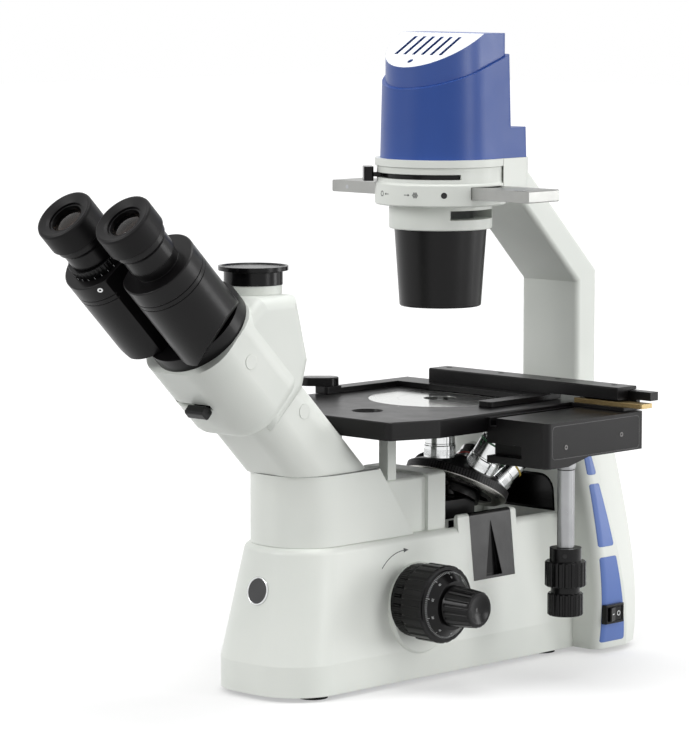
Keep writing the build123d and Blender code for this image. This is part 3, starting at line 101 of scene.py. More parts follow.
class Finish:
    """A material: its shader, the place on the object, and a normal that is rounded at the edges."""

    def __init__(self, name, round_mm=0.6, **constants):
        self.material = bpy.data.materials.new(name)
        self.material.use_nodes = True
        tree = self.material.node_tree
        self.shader = tree.nodes["Principled BSDF"]
        self.wire = Wire(tree)
        self.place = self.wire.make("ShaderNodeTexCoord", out="Object")
        self.normal = self.wire.make("ShaderNodeNewGeometry", out="Normal")
        self.rounded = self.wire.make("ShaderNodeBevel", {"samples": 4}, {"Radius": round_mm * MM})
        for key, value in constants.items():
            self.shader.inputs[key.replace("_", " ")].default_value = value

    def noise(self, scale, detail=2.0, place=None):
        sockets = {"Vector": place or self.place, "Scale": scale, "Detail": detail, "Roughness": 0.55}
        return self.wire.make("ShaderNodeTexNoise", None, sockets)

    def stretched(self, x, y, z):
        """Object place drawn out along some axes, for brushed and turned marks."""
        return self.place.vector("MULTIPLY", (x, y, z))

    def edge(self):
        """1 along outer and inner edges, 0 on open faces."""
        return (1 - self.rounded.vector("DOT_PRODUCT", self.normal, out="Value")).smooth(0.02, 0.25)

    def lead(self, **inputs):
        """Link wires to sockets of the shader, by name."""
        for key, value in inputs.items():
            self.wire.tree.links.new(value.socket, self.shader.inputs[key.replace("_", " ")])
        return self

    def bump(self, height, deep_mm, strength):
        """Fine relief of a given depth on the rounded normal."""
        sockets = {"Strength": strength, "Distance": deep_mm * MM, "Height": height, "Normal": self.rounded}
        return self.lead(Normal=self.wire.make("ShaderNodeBump", None, sockets))

    def put_on(self, *names):
        """Give this finish to pieces of the frame."""
        for name in names:
            mesh = nodes[name].data
            mesh.materials.clear()
            mesh.materials.append(self.material)
        return self


def tone(red, green, blue):
    """Display colour from 0 to 255, as the linear colour that a shader takes."""
    def linear(value):
        value /= 255
        return value / 12.92 if value <= 0.04045 else ((value + 0.055) / 1.055) ** 2.4
    return linear(red), linear(green), linear(blue), 1.0


def paint(name, light, dark, worn, rough, grain, peel_mm=0.05, round_mm=0.6, shine=0.5):
    """Sprayed or moulded skin: slow drift in tone, patchy gloss, a fine grain and rubbed edges."""
    coat = Finish(name, round_mm, Coat_Roughness=0.2, Specular_IOR_Level=shine)
    drift = coat.noise(9.0, 3.0).smooth(0.3, 0.7)
    rubbed = coat.edge() * coat.noise(90.0, 4.0).smooth(0.3, 0.7) * 0.5
    coat.lead(
        Base_Color=rubbed.blend(drift.blend(dark, light), worn),
        Roughness=coat.noise(60.0, 3.0) * 0.14 + (rough - 0.07) - rubbed * 0.1,
        Coat_Weight=coat.noise(25.0) * 0.24 * shine,
    )
    return coat.bump(coat.noise(grain, 1.5), peel_mm, 0.5)


white = paint("white_paint", tone(231, 234, 228), tone(224, 228, 222), tone(238, 240, 236), 0.4, 700.0)
white.put_on(
    "base_casting", "neck_cover", "neck_elbow", "blind_plugs", "camera_port", "head_housing",
    "rear_tower", "lamp_arm", "condenser_carrier", "stage_pedestal",
)

# Seam between the neck cover and the elbow: the thin dark gap left where the two castings meet.
# A flat gasket, followed round the cover's plan and let in flush with the paint.
millimetres = Matrix.Scale(MM, 4)
SHARP = math.radians(35)
NECK_BACK = -108.0
NECK_CORNER = 34.0


def mm_box(node):
    """Lowest and highest corners of a piece of the frame, in millimetres."""
    return [[value / MM for value in corner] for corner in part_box(node)]


def finished(shell, place):
    """Close a mesh: merge it, turn its faces outwards, keep its edges crisp and put it in its place."""
    bmesh.ops.remove_doubles(shell, verts=shell.verts, dist=1e-5)
    bmesh.ops.recalc_face_normals(shell, faces=shell.faces)
    mesh = bpy.data.meshes.new("piece")
    shell.to_mesh(mesh)
    shell.free()
    mesh.transform(place)
    mesh.shade_smooth()
    mesh.set_sharp_from_angle(angle=SHARP)
    return mesh


def set_down(name, mesh, finish, body):
    """Put a finished mesh on the instrument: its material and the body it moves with."""
    mesh.name = name
    mesh.materials.clear()
    mesh.materials.append(finish.material)
    piece = bpy.data.objects.new(name, mesh)
    bpy.context.collection.objects.link(piece)
    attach(piece, body)


def band(inner, outer, low, high, place=millimetres):
    """Closed band between two outlines of as many points, from one height to another."""
    shell = bmesh.new()
    loops = [
        [shell.verts.new((x, y, z)) for x, y in outline]
        for outline, z in ((inner, low), (outer, low), (outer, high), (inner, high))
    ]
    for first, second in zip(loops, loops[1:] + loops[:1]):
        for k in range(len(first)):
            after = (k + 1) % len(first)
            shell.faces.new((first[k], first[after], second[after], second[k]))
    return finished(shell, place)


neck_low, neck_high = mm_box("neck_cover")


def neck_outline(grow):
    """Plan of the neck cover at the seam, with its two rounded front corners."""
    half, front, corner = neck_high[0] + grow, neck_low[1] - grow, NECK_CORNER + grow
    points = [(half, NECK_BACK)]
    for centre_x, start in ((half - corner, 0), (corner - half, -90)):
        for k in range(17):
            angle = math.radians(start - 90 * k / 16)
            points.append((centre_x + corner * math.cos(angle), front + corner + corner * math.sin(angle)))
    return points + [(-half, NECK_BACK)]


gap = paint("seam_gap", tone(120, 123, 120), tone(104, 107, 104), tone(130, 132, 130), 0.6, 600.0)
gasket = band(neck_outline(-3.0), neck_outline(0.1), neck_high[2] - 0.5, neck_high[2] + 0.05)
set_down("neck_seam", gasket, gap, "stand")

# Round medallion on the nose: a plain black disc with fine turned rings, in a bright chrome rim.
# The rim is pressed over the disc's edge and stands a little proud of the sloping wall.
BADGE_Z = 78.0
SKIRT_TOP, DECK = 26.0, 110.0
NOSE_FOOT, NOSE_HEAD = -207.5, -189.0
NOSE_SLOPE = (NOSE_HEAD - NOSE_FOOT) / (DECK - SKIRT_TOP)
TURNED_WAVES = 9000.0
badge_centre = Vector((0.0, NOSE_FOOT + NOSE_SLOPE * (BADGE_Z - SKIRT_TOP), BADGE_Z))


def frame_at(origin, out, across=(1, 0, 0)):
    """Local frame in millimetres: Z outwards, X across."""
    z = Vector(out).normalized()
    x = Vector(across)
    x = (x - z * x.dot(z)).normalized()
    turn = Matrix((x, z.cross(x), z)).transposed().to_4x4()
    return Matrix.Translation(Vector(origin) * MM) @ turn @ millimetres


def lathe(profile, place, steps=72):
    """Turned mesh from a closed (radius, height) outline in millimetres."""
    shell = bmesh.new()
    rings = []
    for radius, height in profile:
        count = steps if radius > 0 else 1
        turns = [math.tau * k / count for k in range(count)]
        rings.append([shell.verts.new((radius * math.cos(a), radius * math.sin(a), height)) for a in turns])
    for low, high in zip(rings, rings[1:] + rings[:1]):
        for k in range(steps):
            sides = ((low, k), (low, k + 1), (high, k + 1), (high, k))
            corners = list(dict.fromkeys(ring[index % len(ring)] for ring, index in sides))
            if len(corners) > 2:
                shell.faces.new(corners)
    return finished(shell, place)


def metal(name, light, dark, rough, round_mm=0.3, drawn=(1, 1, 1)):
    """Bare metal: tone and polish vary in patches, with fine marks drawn out along the tool's path."""
    skin = Finish(name, round_mm, Metallic=1.0)
    marks = skin.noise(1500.0, 3.0, skin.stretched(*drawn))
    skin.lead(
        Base_Color=skin.noise(40.0, 3.0).blend(dark, light),
        Roughness=skin.noise(120.0, 3.0) * 0.1 + marks * 0.08 + (rough - 0.09),
    )
    return skin.bump(marks, 0.01, 0.3)


chrome = metal("chrome", tone(226, 227, 226), tone(208, 210, 211), 0.14)
badge_frame = frame_at(badge_centre, (0, -1, NOSE_SLOPE))
rim_profile = [(9.2, -0.4), (10.5, -0.4), (10.6, 0.5), (10.2, 1.1), (9.6, 1.2), (9.2, 0.7)]
set_down("medallion_rim", lathe(rim_profile, badge_frame), chrome, "stand")

medallion = Finish("medallion", 0.3, Coat_Weight=0.3, Coat_Roughness=0.1)
from_centre = medallion.place.vector("DISTANCE", tuple(badge_centre * MM), out="Value")
turned = medallion.wire.math("SINE", from_centre * TURNED_WAVES)
medallion.lead(
    Base_Color=medallion.noise(80.0).blend(tone(22, 22, 24), tone(32, 32, 35)),
    Roughness=turned * 0.05 + 0.3,
)
medallion.bump(turned, 0.02, 0.5).put_on("front_medallion")

# Mark for the tension ring: a printed arc with an arrow head on the wall above the right focus knobs.
# Dark grey ink, one tenth of a millimetre thick, following the wall as it draws in towards the deck.
FOCUS = (0.0, -84.0, 64.0)
ARC_R = 36.0
WALL_FOOT, WALL_HEAD = 50.0, 41.0
ink = paint("dark_ink", tone(74, 76, 76), tone(64, 66, 66), tone(90, 92, 92), 0.55, 1500.0, 0.01, 0.05)


def wall_point(y, z, proud):
    """Point on the drawn-in right wall of the base."""
    drawn_in = (WALL_FOOT - WALL_HEAD) * (z - SKIRT_TOP) / (DECK - SKIRT_TOP)
    return WALL_FOOT - drawn_in + proud, y, z


def wall_print(low_line, high_line):
    """Thin print between two lines of (Y, Z) points on the wall."""
    shell = bmesh.new()
    layers = [
        [shell.verts.new(wall_point(y, z, proud)) for y, z in line]
        for line, proud in ((low_line, -0.2), (high_line, -0.2), (high_line, 0.1), (low_line, 0.1))
    ]
    for first, second in zip(layers, layers[1:] + layers[:1]):
        for k in range(len(first) - 1):
            shell.faces.new((first[k], first[k + 1], second[k + 1], second[k]))
    for end in (0, -1):
        shell.faces.new([layer[end] for layer in layers])
    return finished(shell, millimetres)


def on_arc(degrees, radius):
    """(Y, Z) of a point on a circle about the focus axle."""
    angle = math.radians(degrees)
    return FOCUS[1] + radius * math.cos(angle), FOCUS[2] + radius * math.sin(angle)


sweep = [136 - 46 * k / 24 for k in range(25)]
arc_inside = [on_arc(degrees, ARC_R - 0.3) for degrees in sweep]
arc_outside = [on_arc(degrees, ARC_R + 0.3) for degrees in sweep]
set_down("tension_arc", wall_print(arc_inside, arc_outside), ink, "stand")
tip = [(92 - 8 * k / 6, 1.7 - 1.65 * k / 6) for k in range(7)]
tip_inside = [on_arc(degrees, ARC_R - half) for degrees, half in tip]
tip_outside = [on_arc(degrees, ARC_R + half) for degrees, half in tip]
set_down("tension_arrow", wall_print(tip_inside, tip_outside), ink, "stand")

# Base plate and feet: a zinc-plated steel plate let into the skirt, and soft black rubber discs under it.
# The rubber is dull, with a slight dusty bloom; the eyecups are the same stuff.
steel = metal("steel", tone(178, 180, 182), tone(152, 154, 158), 0.35, drawn=(0.02, 1, 1))
steel.put_on("base_plate", "coarse_shaft")
rubber = paint("rubber", tone(17, 16, 17), tone(11, 10, 11), tone(38, 37, 38), 0.45, 1500.0, shine=0.14)
rubber.put_on("rubber_feet", "right_eyecup", "left_eyecup")


def open_tree(name, **inputs):
    """A new geometry-nodes tree: a maker of its nodes, and a wire for each named input."""
    tree = bpy.data.node_groups.new(name, "GeometryNodeTree")
    for label, kind in inputs.items():
        tree.interface.new_socket(label, in_out="INPUT", socket_type="NodeSocket" + kind)
    tree.interface.new_socket("Mesh", in_out="OUTPUT", socket_type="NodeSocketGeometry")
    given = tree.nodes.new("NodeGroupInput")
    return Wire(tree), [Wire(tree, given.outputs[label]) for label in inputs]


def close_tree(maker, copies, finish):
    """End a tree: its copies made real, in one material."""
    solid = maker.make("GeometryNodeRealizeInstances", None, {"Geometry": copies})
    coated = maker.make("GeometryNodeSetMaterial", None, {"Geometry": solid, "Material": finish})
    maker.tree.links.new(coated.socket, maker.tree.nodes.new("NodeGroupOutput").inputs[0])
    return maker.tree


def screw_tree():
    """Geometry nodes: one screw head on each point of a mesh, facing along Z, with a socket in its end."""
    maker, (points, radius, height, finish) = open_tree(
        "screw_heads", Points="Geometry", Radius="Float", Height="Float", Finish="Material",
    )
    head_size = {"Vertices": 24, "Radius": radius, "Depth": height}
    head = maker.make("GeometryNodeMeshCylinder", None, head_size)
    socket_size = {"Vertices": 6, "Radius": radius * 0.5, "Depth": height}
    socket = maker.make("GeometryNodeMeshCylinder", None, socket_size)
    lift = maker.make("ShaderNodeCombineXYZ", None, {"Z": height * 0.5})
    socket = maker.make("GeometryNodeTransform", None, {"Geometry": socket, "Translation": lift})
    cut = {"Mesh 1": head, "Mesh 2": socket}
    drilled = maker.make("GeometryNodeMeshBoolean", {"operation": "DIFFERENCE"}, cut)
    heads = maker.make("GeometryNodeInstanceOnPoints", None, {"Points": points, "Instance": drilled})
    return close_tree(maker, heads, finish)


def baked(host, place):
    """What an object makes, as a plain mesh in its place; the object itself goes."""
    bpy.context.collection.objects.link(host)
    mesh = bpy.data.meshes.new_from_object(host.evaluated_get(bpy.context.evaluated_depsgraph_get()))
    bpy.data.objects.remove(host)
    mesh.transform(place)
    return mesh


def grown(tree, place, points=(), **sizes):
    """Mesh that a geometry-nodes tree makes from its named inputs."""
    seeds = bpy.data.meshes.new("seeds")
    seeds.from_pydata(list(points), [], [])
    host = bpy.data.objects.new("host", seeds)
    modifier = host.modifiers.new("grow", "NODES")
    modifier.node_group = tree
    for item in tree.interface.items_tree:
        if item.in_out == "INPUT" and item.socket_type != "NodeSocketGeometry":
            modifier[item.identifier] = sizes[item.name]
    return baked(host, place)


screws = screw_tree()
plate_under = frame_at((0, 0, mm_box("base_plate")[0][2]), (0, 0, -1))
plate_points = [(side * 38.0, along, 0.0) for side in (-1, 1) for along in (140.0, 20.0, -60.0)]
plate_heads = grown(screws, plate_under, plate_points, Radius=3.0, Height=1.6, Finish=steel.material)
set_down("plate_screws", plate_heads, steel, "stand")

# Tower inlays: three blue plastic panels let into each flank of the rear tower.
# They are moulded with a coarse grain and pressed into their recesses, level with the paint.
panel = paint("blue_panel", tone(88, 118, 186), tone(80, 110, 178), tone(120, 146, 204), 0.36, 520.0, 0.12)
panel.put_on("side_panels")

# Black mouldings: knobs, dust cap, switch, inlet, slot cover, recess liner and levers.
# Glass-filled plastic with a fine grain, a little glossier where hands rub it.
plastic = paint(
    "black_plastic", tone(13, 12, 13), tone(8, 8, 9), tone(46, 45, 46), 0.22, 1700.0, 0.03, shine=0.2,
)
plastic.put_on(
    "long_travel_knob", "cross_travel_knob", "filter_slot_cover", "recess_liner", "switch_frame",
    "switch_rocker", "port_cap", "coarse_knobs", "fine_focus", "tension_ring", "aperture_lever",
    "clamp_lever", "mains_inlet", "brightness_knob", "dioptre_ring", "light_path_lever",
)

# Signs on the power switch: a plain dash and ring printed in white on the two halves of the rocker.
# They ride on the rocker, whose two halves lean towards its middle.
SWITCH_AT = (80.9, 111.0, 32.0)
ROCKER_TILT = math.radians(10.0 - 90.0)
ROCKER_HALF, ROCKER_DIP, ROCKER_LIP = 7.6, 2.2, 3.2
INK_ROOT, INK_PROUD = -0.2, 0.08
white_ink = paint(
    "white_ink", tone(226, 228, 228), tone(216, 218, 218), tone(232, 234, 234), 0.5, 1500.0, 0.01, 0.05,
)


def rocker_frame(along):
    """Frame on one half of the rocker: X across the sign, Y up, Z out of the face."""
    slope = math.copysign((ROCKER_LIP - ROCKER_DIP) / ROCKER_HALF, along)
    turn = Matrix.Rotation(ROCKER_TILT, 3, "Z")
    spot = Vector(SWITCH_AT) + turn @ Vector((along, ROCKER_DIP + along * slope, 0))
    return frame_at(spot, turn @ Vector((-slope, 1, 0)), turn @ Vector((-1, -slope, 0)))


def slab(outline, low, high, place):
    """Closed plate with the given outline, from one height to another."""
    shell = bmesh.new()
    under = [shell.verts.new((x, y, low)) for x, y in outline]
    over = [shell.verts.new((x, y, high)) for x, y in outline]
    shell.faces.new(under)
    shell.faces.new(over)
    for k in range(len(outline)):
        shell.faces.new((under[k - 1], under[k], over[k], over[k - 1]))
    return finished(shell, place)


def flat_ring(inside, outside, low, high):
    """Square profile of a ring, for turning."""
    return [(inside, low), (outside, low), (outside, high), (inside, high)]


dash = [(-1.7, -0.35), (1.7, -0.35), (1.7, 0.35), (-1.7, 0.35)]
dash_print = slab(dash, INK_ROOT, INK_PROUD, rocker_frame(3.9))
set_down("switch_dash", dash_print, white_ink, "rocker")
ring_print = lathe(flat_ring(1.35, 1.95, INK_ROOT, INK_PROUD), rocker_frame(-3.9), 40)
set_down("switch_ring", ring_print, white_ink, "rocker")

# Pointer on the brightness knob: a white line on its end face, from near the middle out to the rim.
# It is filled into a shallow groove in the moulding, and turns with the knob.
dimmer_low, dimmer_high = mm_box("brightness_knob")
dimmer_middle = [(low + high) / 2 for low, high in zip(dimmer_low, dimmer_high)]
pointer_frame = frame_at((dimmer_low[0], *dimmer_middle[1:]), (-1, 0, 0), (0, 1, 0))
pointer = [(-0.5, 2.0), (0.5, 2.0), (0.5, 7.6), (-0.5, 7.6)]
pointer_line = slab(pointer, INK_ROOT, INK_PROUD, pointer_frame)
set_down("brightness_pointer", pointer_line, white_ink, "brightness")

# Signs round the condenser ring: an open circle and a rosette with an arrow towards each, printed in grey.
# They show which way the aperture lever closes; a set-screw hole sits beside them, drawn as a near-black
# disc of painted shade.
RING_R = mm_box("condenser_carrier")[1][0]
SIGN_Z = 361.0
SIGN_ROOT = -0.3


def on_ring(degrees):
    """Frame on the condenser ring: X round to the right, Y up, Z outwards."""
    angle = math.radians(degrees)
    out = Vector((math.cos(angle), math.sin(angle), 0))
    spot = out * RING_R + Vector((0, 0, SIGN_Z))
    return frame_at(spot, out, (-out.y, out.x, 0))


circle = lathe(flat_ring(1.5, 2.1, SIGN_ROOT, INK_PROUD), on_ring(-109), 40)
set_down("open_circle", circle, ink, "stand")


def joined(meshes):
    """Several meshes as one."""
    shell = bmesh.new()
    for mesh in meshes:
        shell.from_mesh(mesh)
        bpy.data.meshes.remove(mesh)
    result = bpy.data.meshes.new("joined")
    shell.to_mesh(result)
    shell.free()
    return result


petal = flat_ring(0.35, 0.75, SIGN_ROOT, INK_PROUD)
petals = [lathe(petal, on_ring(-70), 16)]
for k in range(6):
    turn = math.tau * k / 6
    shift = Matrix.Translation((1.6 * math.cos(turn), 1.6 * math.sin(turn), 0))
    petals.append(lathe(petal, on_ring(-70) @ shift, 16))
set_down("rosette", joined(petals), ink, "stand")
arrow = [(2.4, 0.0), (0.9, 1.0), (0.9, 0.25), (-2.4, 0.25), (-2.4, -0.25), (0.9, -0.25), (0.9, -1.0)]
for name, degrees, way in (("arrow_left", -101.5, -1), ("arrow_right", -78.0, 1)):
    outline = [(way * x, y) for x, y in arrow]
    arrow_print = slab(outline, SIGN_ROOT, INK_PROUD, on_ring(degrees))
    set_down(name, arrow_print, ink, "stand")

# Near black: the colour of the thin black lines, and painted shade for the depth of holes and grooves that
# are drawn as flat discs and rings.
hole = paint("black_and_painted_hole_shade", tone(9, 9, 9), tone(6, 6, 6), tone(14, 14, 14), 0.7, 900.0)
hole_profile = [(0, -0.6), (2.3, -0.6), (2.3, 0.14), (2.0, 0.14), (1.7, 0.05), (0, 0.05)]
# The set-screw hole is a near-black disc on the ring's face: painted shade standing in for the depth of the
# hole.
set_down("ring_screw_hole", lathe(hole_profile, on_ring(-44.5), 32), hole, "stand")

# Phase slider: an anodised aluminium strip, brushed along its length, which runs through the ring.
# A steel pin is pressed into its front edge, nearly flush.
PIN_AT = (-82.3, -17.0, 361.6)
aluminium = metal("aluminium", tone(166, 166, 163), tone(142, 143, 141), 0.38, drawn=(0.03, 1, 1))
aluminium.put_on("phase_slider", "lamp_module")
pin_profile = [(0, -0.4), (1.5, -0.4), (1.5, 0.03), (1.2, 0.08), (0, 0.08)]
set_down("slider_pin", lathe(pin_profile, frame_at(PIN_AT, (0, -1, 0)), 24), steel, "phase")

# Black metalwork: stage, stage drive, carriage, condenser cone, nosepiece and eyepiece arms.
# Aluminium with a fine satin black coat, which shows bright metal where the edges are rubbed.
black = paint(
    "black_coat", tone(14, 13, 14), tone(9, 8, 9), tone(54, 53, 54), 0.32, 1300.0, 0.03, shine=0.2,
)
black.put_on(
    "stage_plate", "drive_housing", "drive_cover", "cross_rail", "carriage_bar", "plate_holder",
    "right_prism_housing", "left_prism_housing", "turret", "condenser_cone", "right_eyepiece",
    "left_eyepiece", "bearing_plate", "nosepiece_carrier",
)

# Condenser lens and eye lenses: ground and polished glass, held in their mounts by the rims.
# The condenser glass is tinted bluish; the eye lenses are tinted a dark amber, a painted reflection
# standing in for the warm reflections inside the eyepieces.
def lens_glass(name, light, dark):
    """Clear glass, tinted unevenly and very slightly hazed."""
    pane = Finish(name, 0.2, Transmission_Weight=1.0, IOR=1.4)
    return pane.lead(
        Base_Color=pane.noise(70.0, 3.0).smooth(0.35, 0.65).blend(dark, light),
        Roughness=pane.noise(80.0) * 0.03 + 0.01,
    )


lens_glass("condenser_glass", tone(222, 226, 240), tone(206, 214, 236)).put_on("condenser_lens")
# The dark amber of the eye lenses is a painted reflection, not a colour of the glass.
lens_glass("eye_glass_painted_reflection", tone(122, 104, 88), tone(66, 54, 50)).put_on("right_eye_lens", "left_eye_lens")

# Lamp house: a blue moulded shell and a cap whose sloping top is pale, with slots that let the heat out.
# Both are satin mouldings; on the cap, the faces turned upwards in front of its ridge are coloured near
# white.
RIDGE_Y = 1.8
BLUE_LIGHT, BLUE_DARK = tone(42, 76, 150), tone(36, 70, 142)
blue = paint("blue_plastic", BLUE_LIGHT, BLUE_DARK, tone(80, 112, 180), 0.36, 1100.0, 0.04, shine=0.35)
blue.put_on("lamp_housing")
cap = Finish("lamp_cap", 0.6, Coat_Roughness=0.2)
cap_drift = cap.noise(9.0, 3.0).smooth(0.3, 0.7)
before_ridge = 1 - cap.place.axis("Y").smooth(RIDGE_Y * MM, (RIDGE_Y + 0.6) * MM)
# Faces turned upwards, in front of the ridge, are coloured near white; the rest of the cap is blue.
upward = cap.normal.axis("Z").smooth(0.6, 0.75) * before_ridge
cap.lead(
    Base_Color=upward.blend(
        cap_drift.blend(BLUE_DARK, BLUE_LIGHT),
        cap_drift.blend(tone(222, 226, 232), tone(230, 233, 237)),
    ),
    Roughness=cap.noise(60.0, 3.0) * 0.14 + 0.29,
    Coat_Weight=cap.noise(25.0) * 0.12 + 0.04,
)
cap.bump(cap.noise(1100.0, 1.5), 0.04, 0.5).put_on("lamp_cap")

# Stage insert: a bright metal ring and the disc with a hole that drops into it, level with the stage.
# Both are lapped and lacquered nearly to a mirror.
metal("insert", tone(232, 233, 230), tone(222, 224, 221), 0.13).put_on("stage_insert", "insert_centre")

# Drive cover: a plate let into the flank of the drive housing, with a thin pale grey line all round it, a
# painted highlight standing in for the light caught by the edge of the seam.
# Two dull steel socket screws hold it, sunk level with the plate.
def rounded_outline(low, high, grow, corner, steps=6):
    """Rectangle between two corners, grown all round, with rounded corners."""
    centre = [(low[k] + high[k]) / 2 for k in (0, 1)]
    half = [(high[k] - low[k]) / 2 + grow - corner for k in (0, 1)]
    points = []
    for turn, (way_x, way_y) in enumerate(((1, 1), (-1, 1), (-1, -1), (1, -1))):
        for step in range(steps + 1):
            angle = math.radians(90 * turn + 90 * step / steps)
            x = centre[0] + way_x * half[0] + corner * math.cos(angle)
            y = centre[1] + way_y * half[1] + corner * math.sin(angle)
            points.append((x, y))
    return points


cover_low, cover_high = mm_box("drive_cover")
cover_face = frame_at((cover_high[0], 0, 0), (1, 0, 0), (0, 1, 0))
cover_inside = rounded_outline(cover_low[1:], cover_high[1:], 0.0, 3.0)
cover_outside = rounded_outline(cover_low[1:], cover_high[1:], 0.5, 3.5)
cover_highlight_line = band(cover_inside, cover_outside, -0.3, 0.05, cover_face)
# Pale grey, far lighter than the black housing: a painted highlight along the cover's seam.
cover_seam_highlight = paint(
    "cover_seam_highlight", tone(66, 65, 66), tone(52, 51, 52), tone(80, 79, 80), 0.4, 900.0, 0.02, 0.1,
)
set_down("cover_highlight_line", cover_highlight_line, cover_seam_highlight, "stand")
dull_steel = metal("dull_steel", tone(118, 117, 116), tone(96, 95, 94), 0.42)
cover_points = [(-25.7, 181.3, -0.2), (37.4, 185.0, -0.2)]
cover_heads = grown(screws, cover_face, cover_points, Radius=1.8, Height=1.0, Finish=dull_steel.material)
set_down("cover_screws", cover_heads, dull_steel, "stand")

# Drive column: the hard-chromed sleeve that the two stage knobs hang on, let into the drive housing.
# A ground collar and a turned groove finish it at the top.
ground = metal("ground_steel", tone(166, 167, 168), tone(140, 141, 143), 0.3, drawn=(1, 1, 0.04))
ground.put_on("drive_sleeve")
COLUMN = (119.5, 9.0)
collar_profile = [(6.3, 160.0), (7.3, 160.4), (7.3, 163.6), (6.3, 164.0)]
column_frame = frame_at((*COLUMN, 0.0), (0, 0, 1))
set_down("sleeve_collar", lathe(collar_profile, column_frame, 48), ground, "stand")
# The groove is a near-black ring round the sleeve: painted shade standing in for the groove's depth.
groove = lathe(flat_ring(6.2, 6.52, 158.4, 159.2), column_frame, 48)
set_down("sleeve_groove", groove, hole, "stand")

# Set screw of the upper stage knob: a hole in the knob's smooth collar, drawn as a near-black disc of
# painted shade.
# The screw sits deep in it and clamps the knob to its tube.
KNOB_HOLE_Z = 95.0
KNOB_COLLAR_R = 12.0
collar_hole = [(0, -0.6), (1.7, -0.6), (1.7, 0.25), (1.4, 0.25), (1.1, 0.16), (0, 0.16)]
hole_turn = math.radians(-52)
hole_way = Vector((math.cos(hole_turn), math.sin(hole_turn), 0))
hole_frame = frame_at(Vector((*COLUMN, KNOB_HOLE_Z)) + hole_way * KNOB_COLLAR_R, hole_way, (0, 0, 1))
# The near-black disc is painted shade standing in for the depth of the hole.
set_down("knob_screw_hole", lathe(collar_hole, hole_frame, 24), hole, "long_drive")

# Cross rack: a drawn brass strip screwed under the rail, which the drive's pinion moves along.
# Its straight teeth are cut into the front edge, one every 1.2 mm.
TOOTH_PITCH = 1.2
brass = metal("brass", tone(178, 158, 116), tone(146, 128, 92), 0.4)
brass.put_on("cross_rack")


def row_tree():
    """Geometry nodes: a straight row of small blocks."""
    maker, (count, pitch, size, finish) = open_tree(
        "row_of_blocks", Count="Int", Pitch="Float", Block="Vector", Finish="Material",
    )
    step = maker.make("ShaderNodeCombineXYZ", None, {"X": pitch})
    line = maker.make("GeometryNodeMeshLine", None, {"Count": count, "Offset": step})
    block = maker.make("GeometryNodeMeshCube", None, {"Size": size})
    blocks = maker.make("GeometryNodeInstanceOnPoints", None, {"Points": line, "Instance": block})
    return close_tree(maker, blocks, finish)


rack_low, rack_high = mm_box("cross_rack")
tooth_count = int((rack_high[0] - rack_low[0]) / TOOTH_PITCH)
rack_start = (rack_low[0] + TOOTH_PITCH / 2, rack_low[1] - 0.15, (rack_low[2] + rack_high[2]) / 2)
tooth = (0.6, 0.9, rack_high[2] - rack_low[2] - 0.4)
rack_teeth = grown(
    row_tree(), Matrix.Translation(Vector(rack_start) * MM) @ millimetres,
    Count=tooth_count, Pitch=TOOTH_PITCH, Block=tooth, Finish=brass.material,
)
set_down("rack_teeth", rack_teeth, brass, "long_carriage")

# Holes in the carriage bar: four counterbores in a row along its top.
# The black socket screws that hold the bar to its slide are sunk in them.
BAR_HOLES = (-46.0, 8.0, 66.0, 122.0)
BAR_HOLE_Y = 61.0
bar_frame = frame_at((0, BAR_HOLE_Y, mm_box("carriage_bar")[1][2]), (0, 0, 1))
# Each counterbore is a near-black disc on the bar's top: the black screw, with painted shade for the depth
# of the bore.
for index, along in enumerate(BAR_HOLES):
    bore = lathe(hole_profile, bar_frame @ Matrix.Translation((along, 0, 0)), 28)
    set_down(f"bar_hole_{index}", bore, hole, "cross_carriage")

# Dial on each coarse knob: white lines and plain numbers filled into the cone between grip and fine knob.
# Every tenth line is longer and carries a number.
DIAL_R, DIAL_OUT = 22.8, 87.2
DIAL_LEAN = math.radians(45)
SHORT_LINE, LONG_LINE = (1.7, 0.26, 0.12), (2.8, 0.34, 0.14)
dial_ink = paint(
    "dial_ink", tone(196, 198, 198), tone(176, 178, 178), tone(210, 212, 212), 0.5, 1500.0, 0.01, 0.05,
)


def ring_tree():
    """Geometry nodes: rows of small blocks round a circle, each facing outwards and leaning by an angle."""
    maker, (count, rows, step, radius, size, lean, finish) = open_tree(
        "ring_of_blocks", Count="Int", Rows="Int", Step="Float", Radius="Float", Block="Vector",
        Lean="Float", Finish="Material",
    )
    circle = maker.make("GeometryNodeMeshCircle", None, {"Vertices": count, "Radius": radius})
    rise = maker.make("ShaderNodeCombineXYZ", None, {"Z": step})
    column = maker.make("GeometryNodeMeshLine", None, {"Count": rows, "Offset": rise})
    posts = maker.make("GeometryNodeInstanceOnPoints", None, {"Points": circle, "Instance": column})
    posts = maker.make("GeometryNodeRealizeInstances", None, {"Geometry": posts})
    spot = maker.make("GeometryNodeInputPosition")
    turn = maker.math("ARCTAN2", spot.axis("Y"), spot.axis("X"))
    facing = maker.make("ShaderNodeCombineXYZ", None, {"Y": lean, "Z": turn})
    block = maker.make("GeometryNodeMeshCube", None, {"Size": size})
    placed = {"Points": posts, "Instance": block, "Rotation": facing}
    blocks = maker.make("GeometryNodeInstanceOnPoints", None, placed)
    return close_tree(maker, blocks, finish)


def figure(text, size, place):
    """A plain printed number as a thin flat mesh."""
    glyph = bpy.data.curves.new("figure", "FONT")
    glyph.body = text
    glyph.size = size
    glyph.align_x = "CENTER"
    glyph.align_y = "CENTER"
    glyph.extrude = 0.06
    return baked(bpy.data.objects.new("figure", glyph), place)


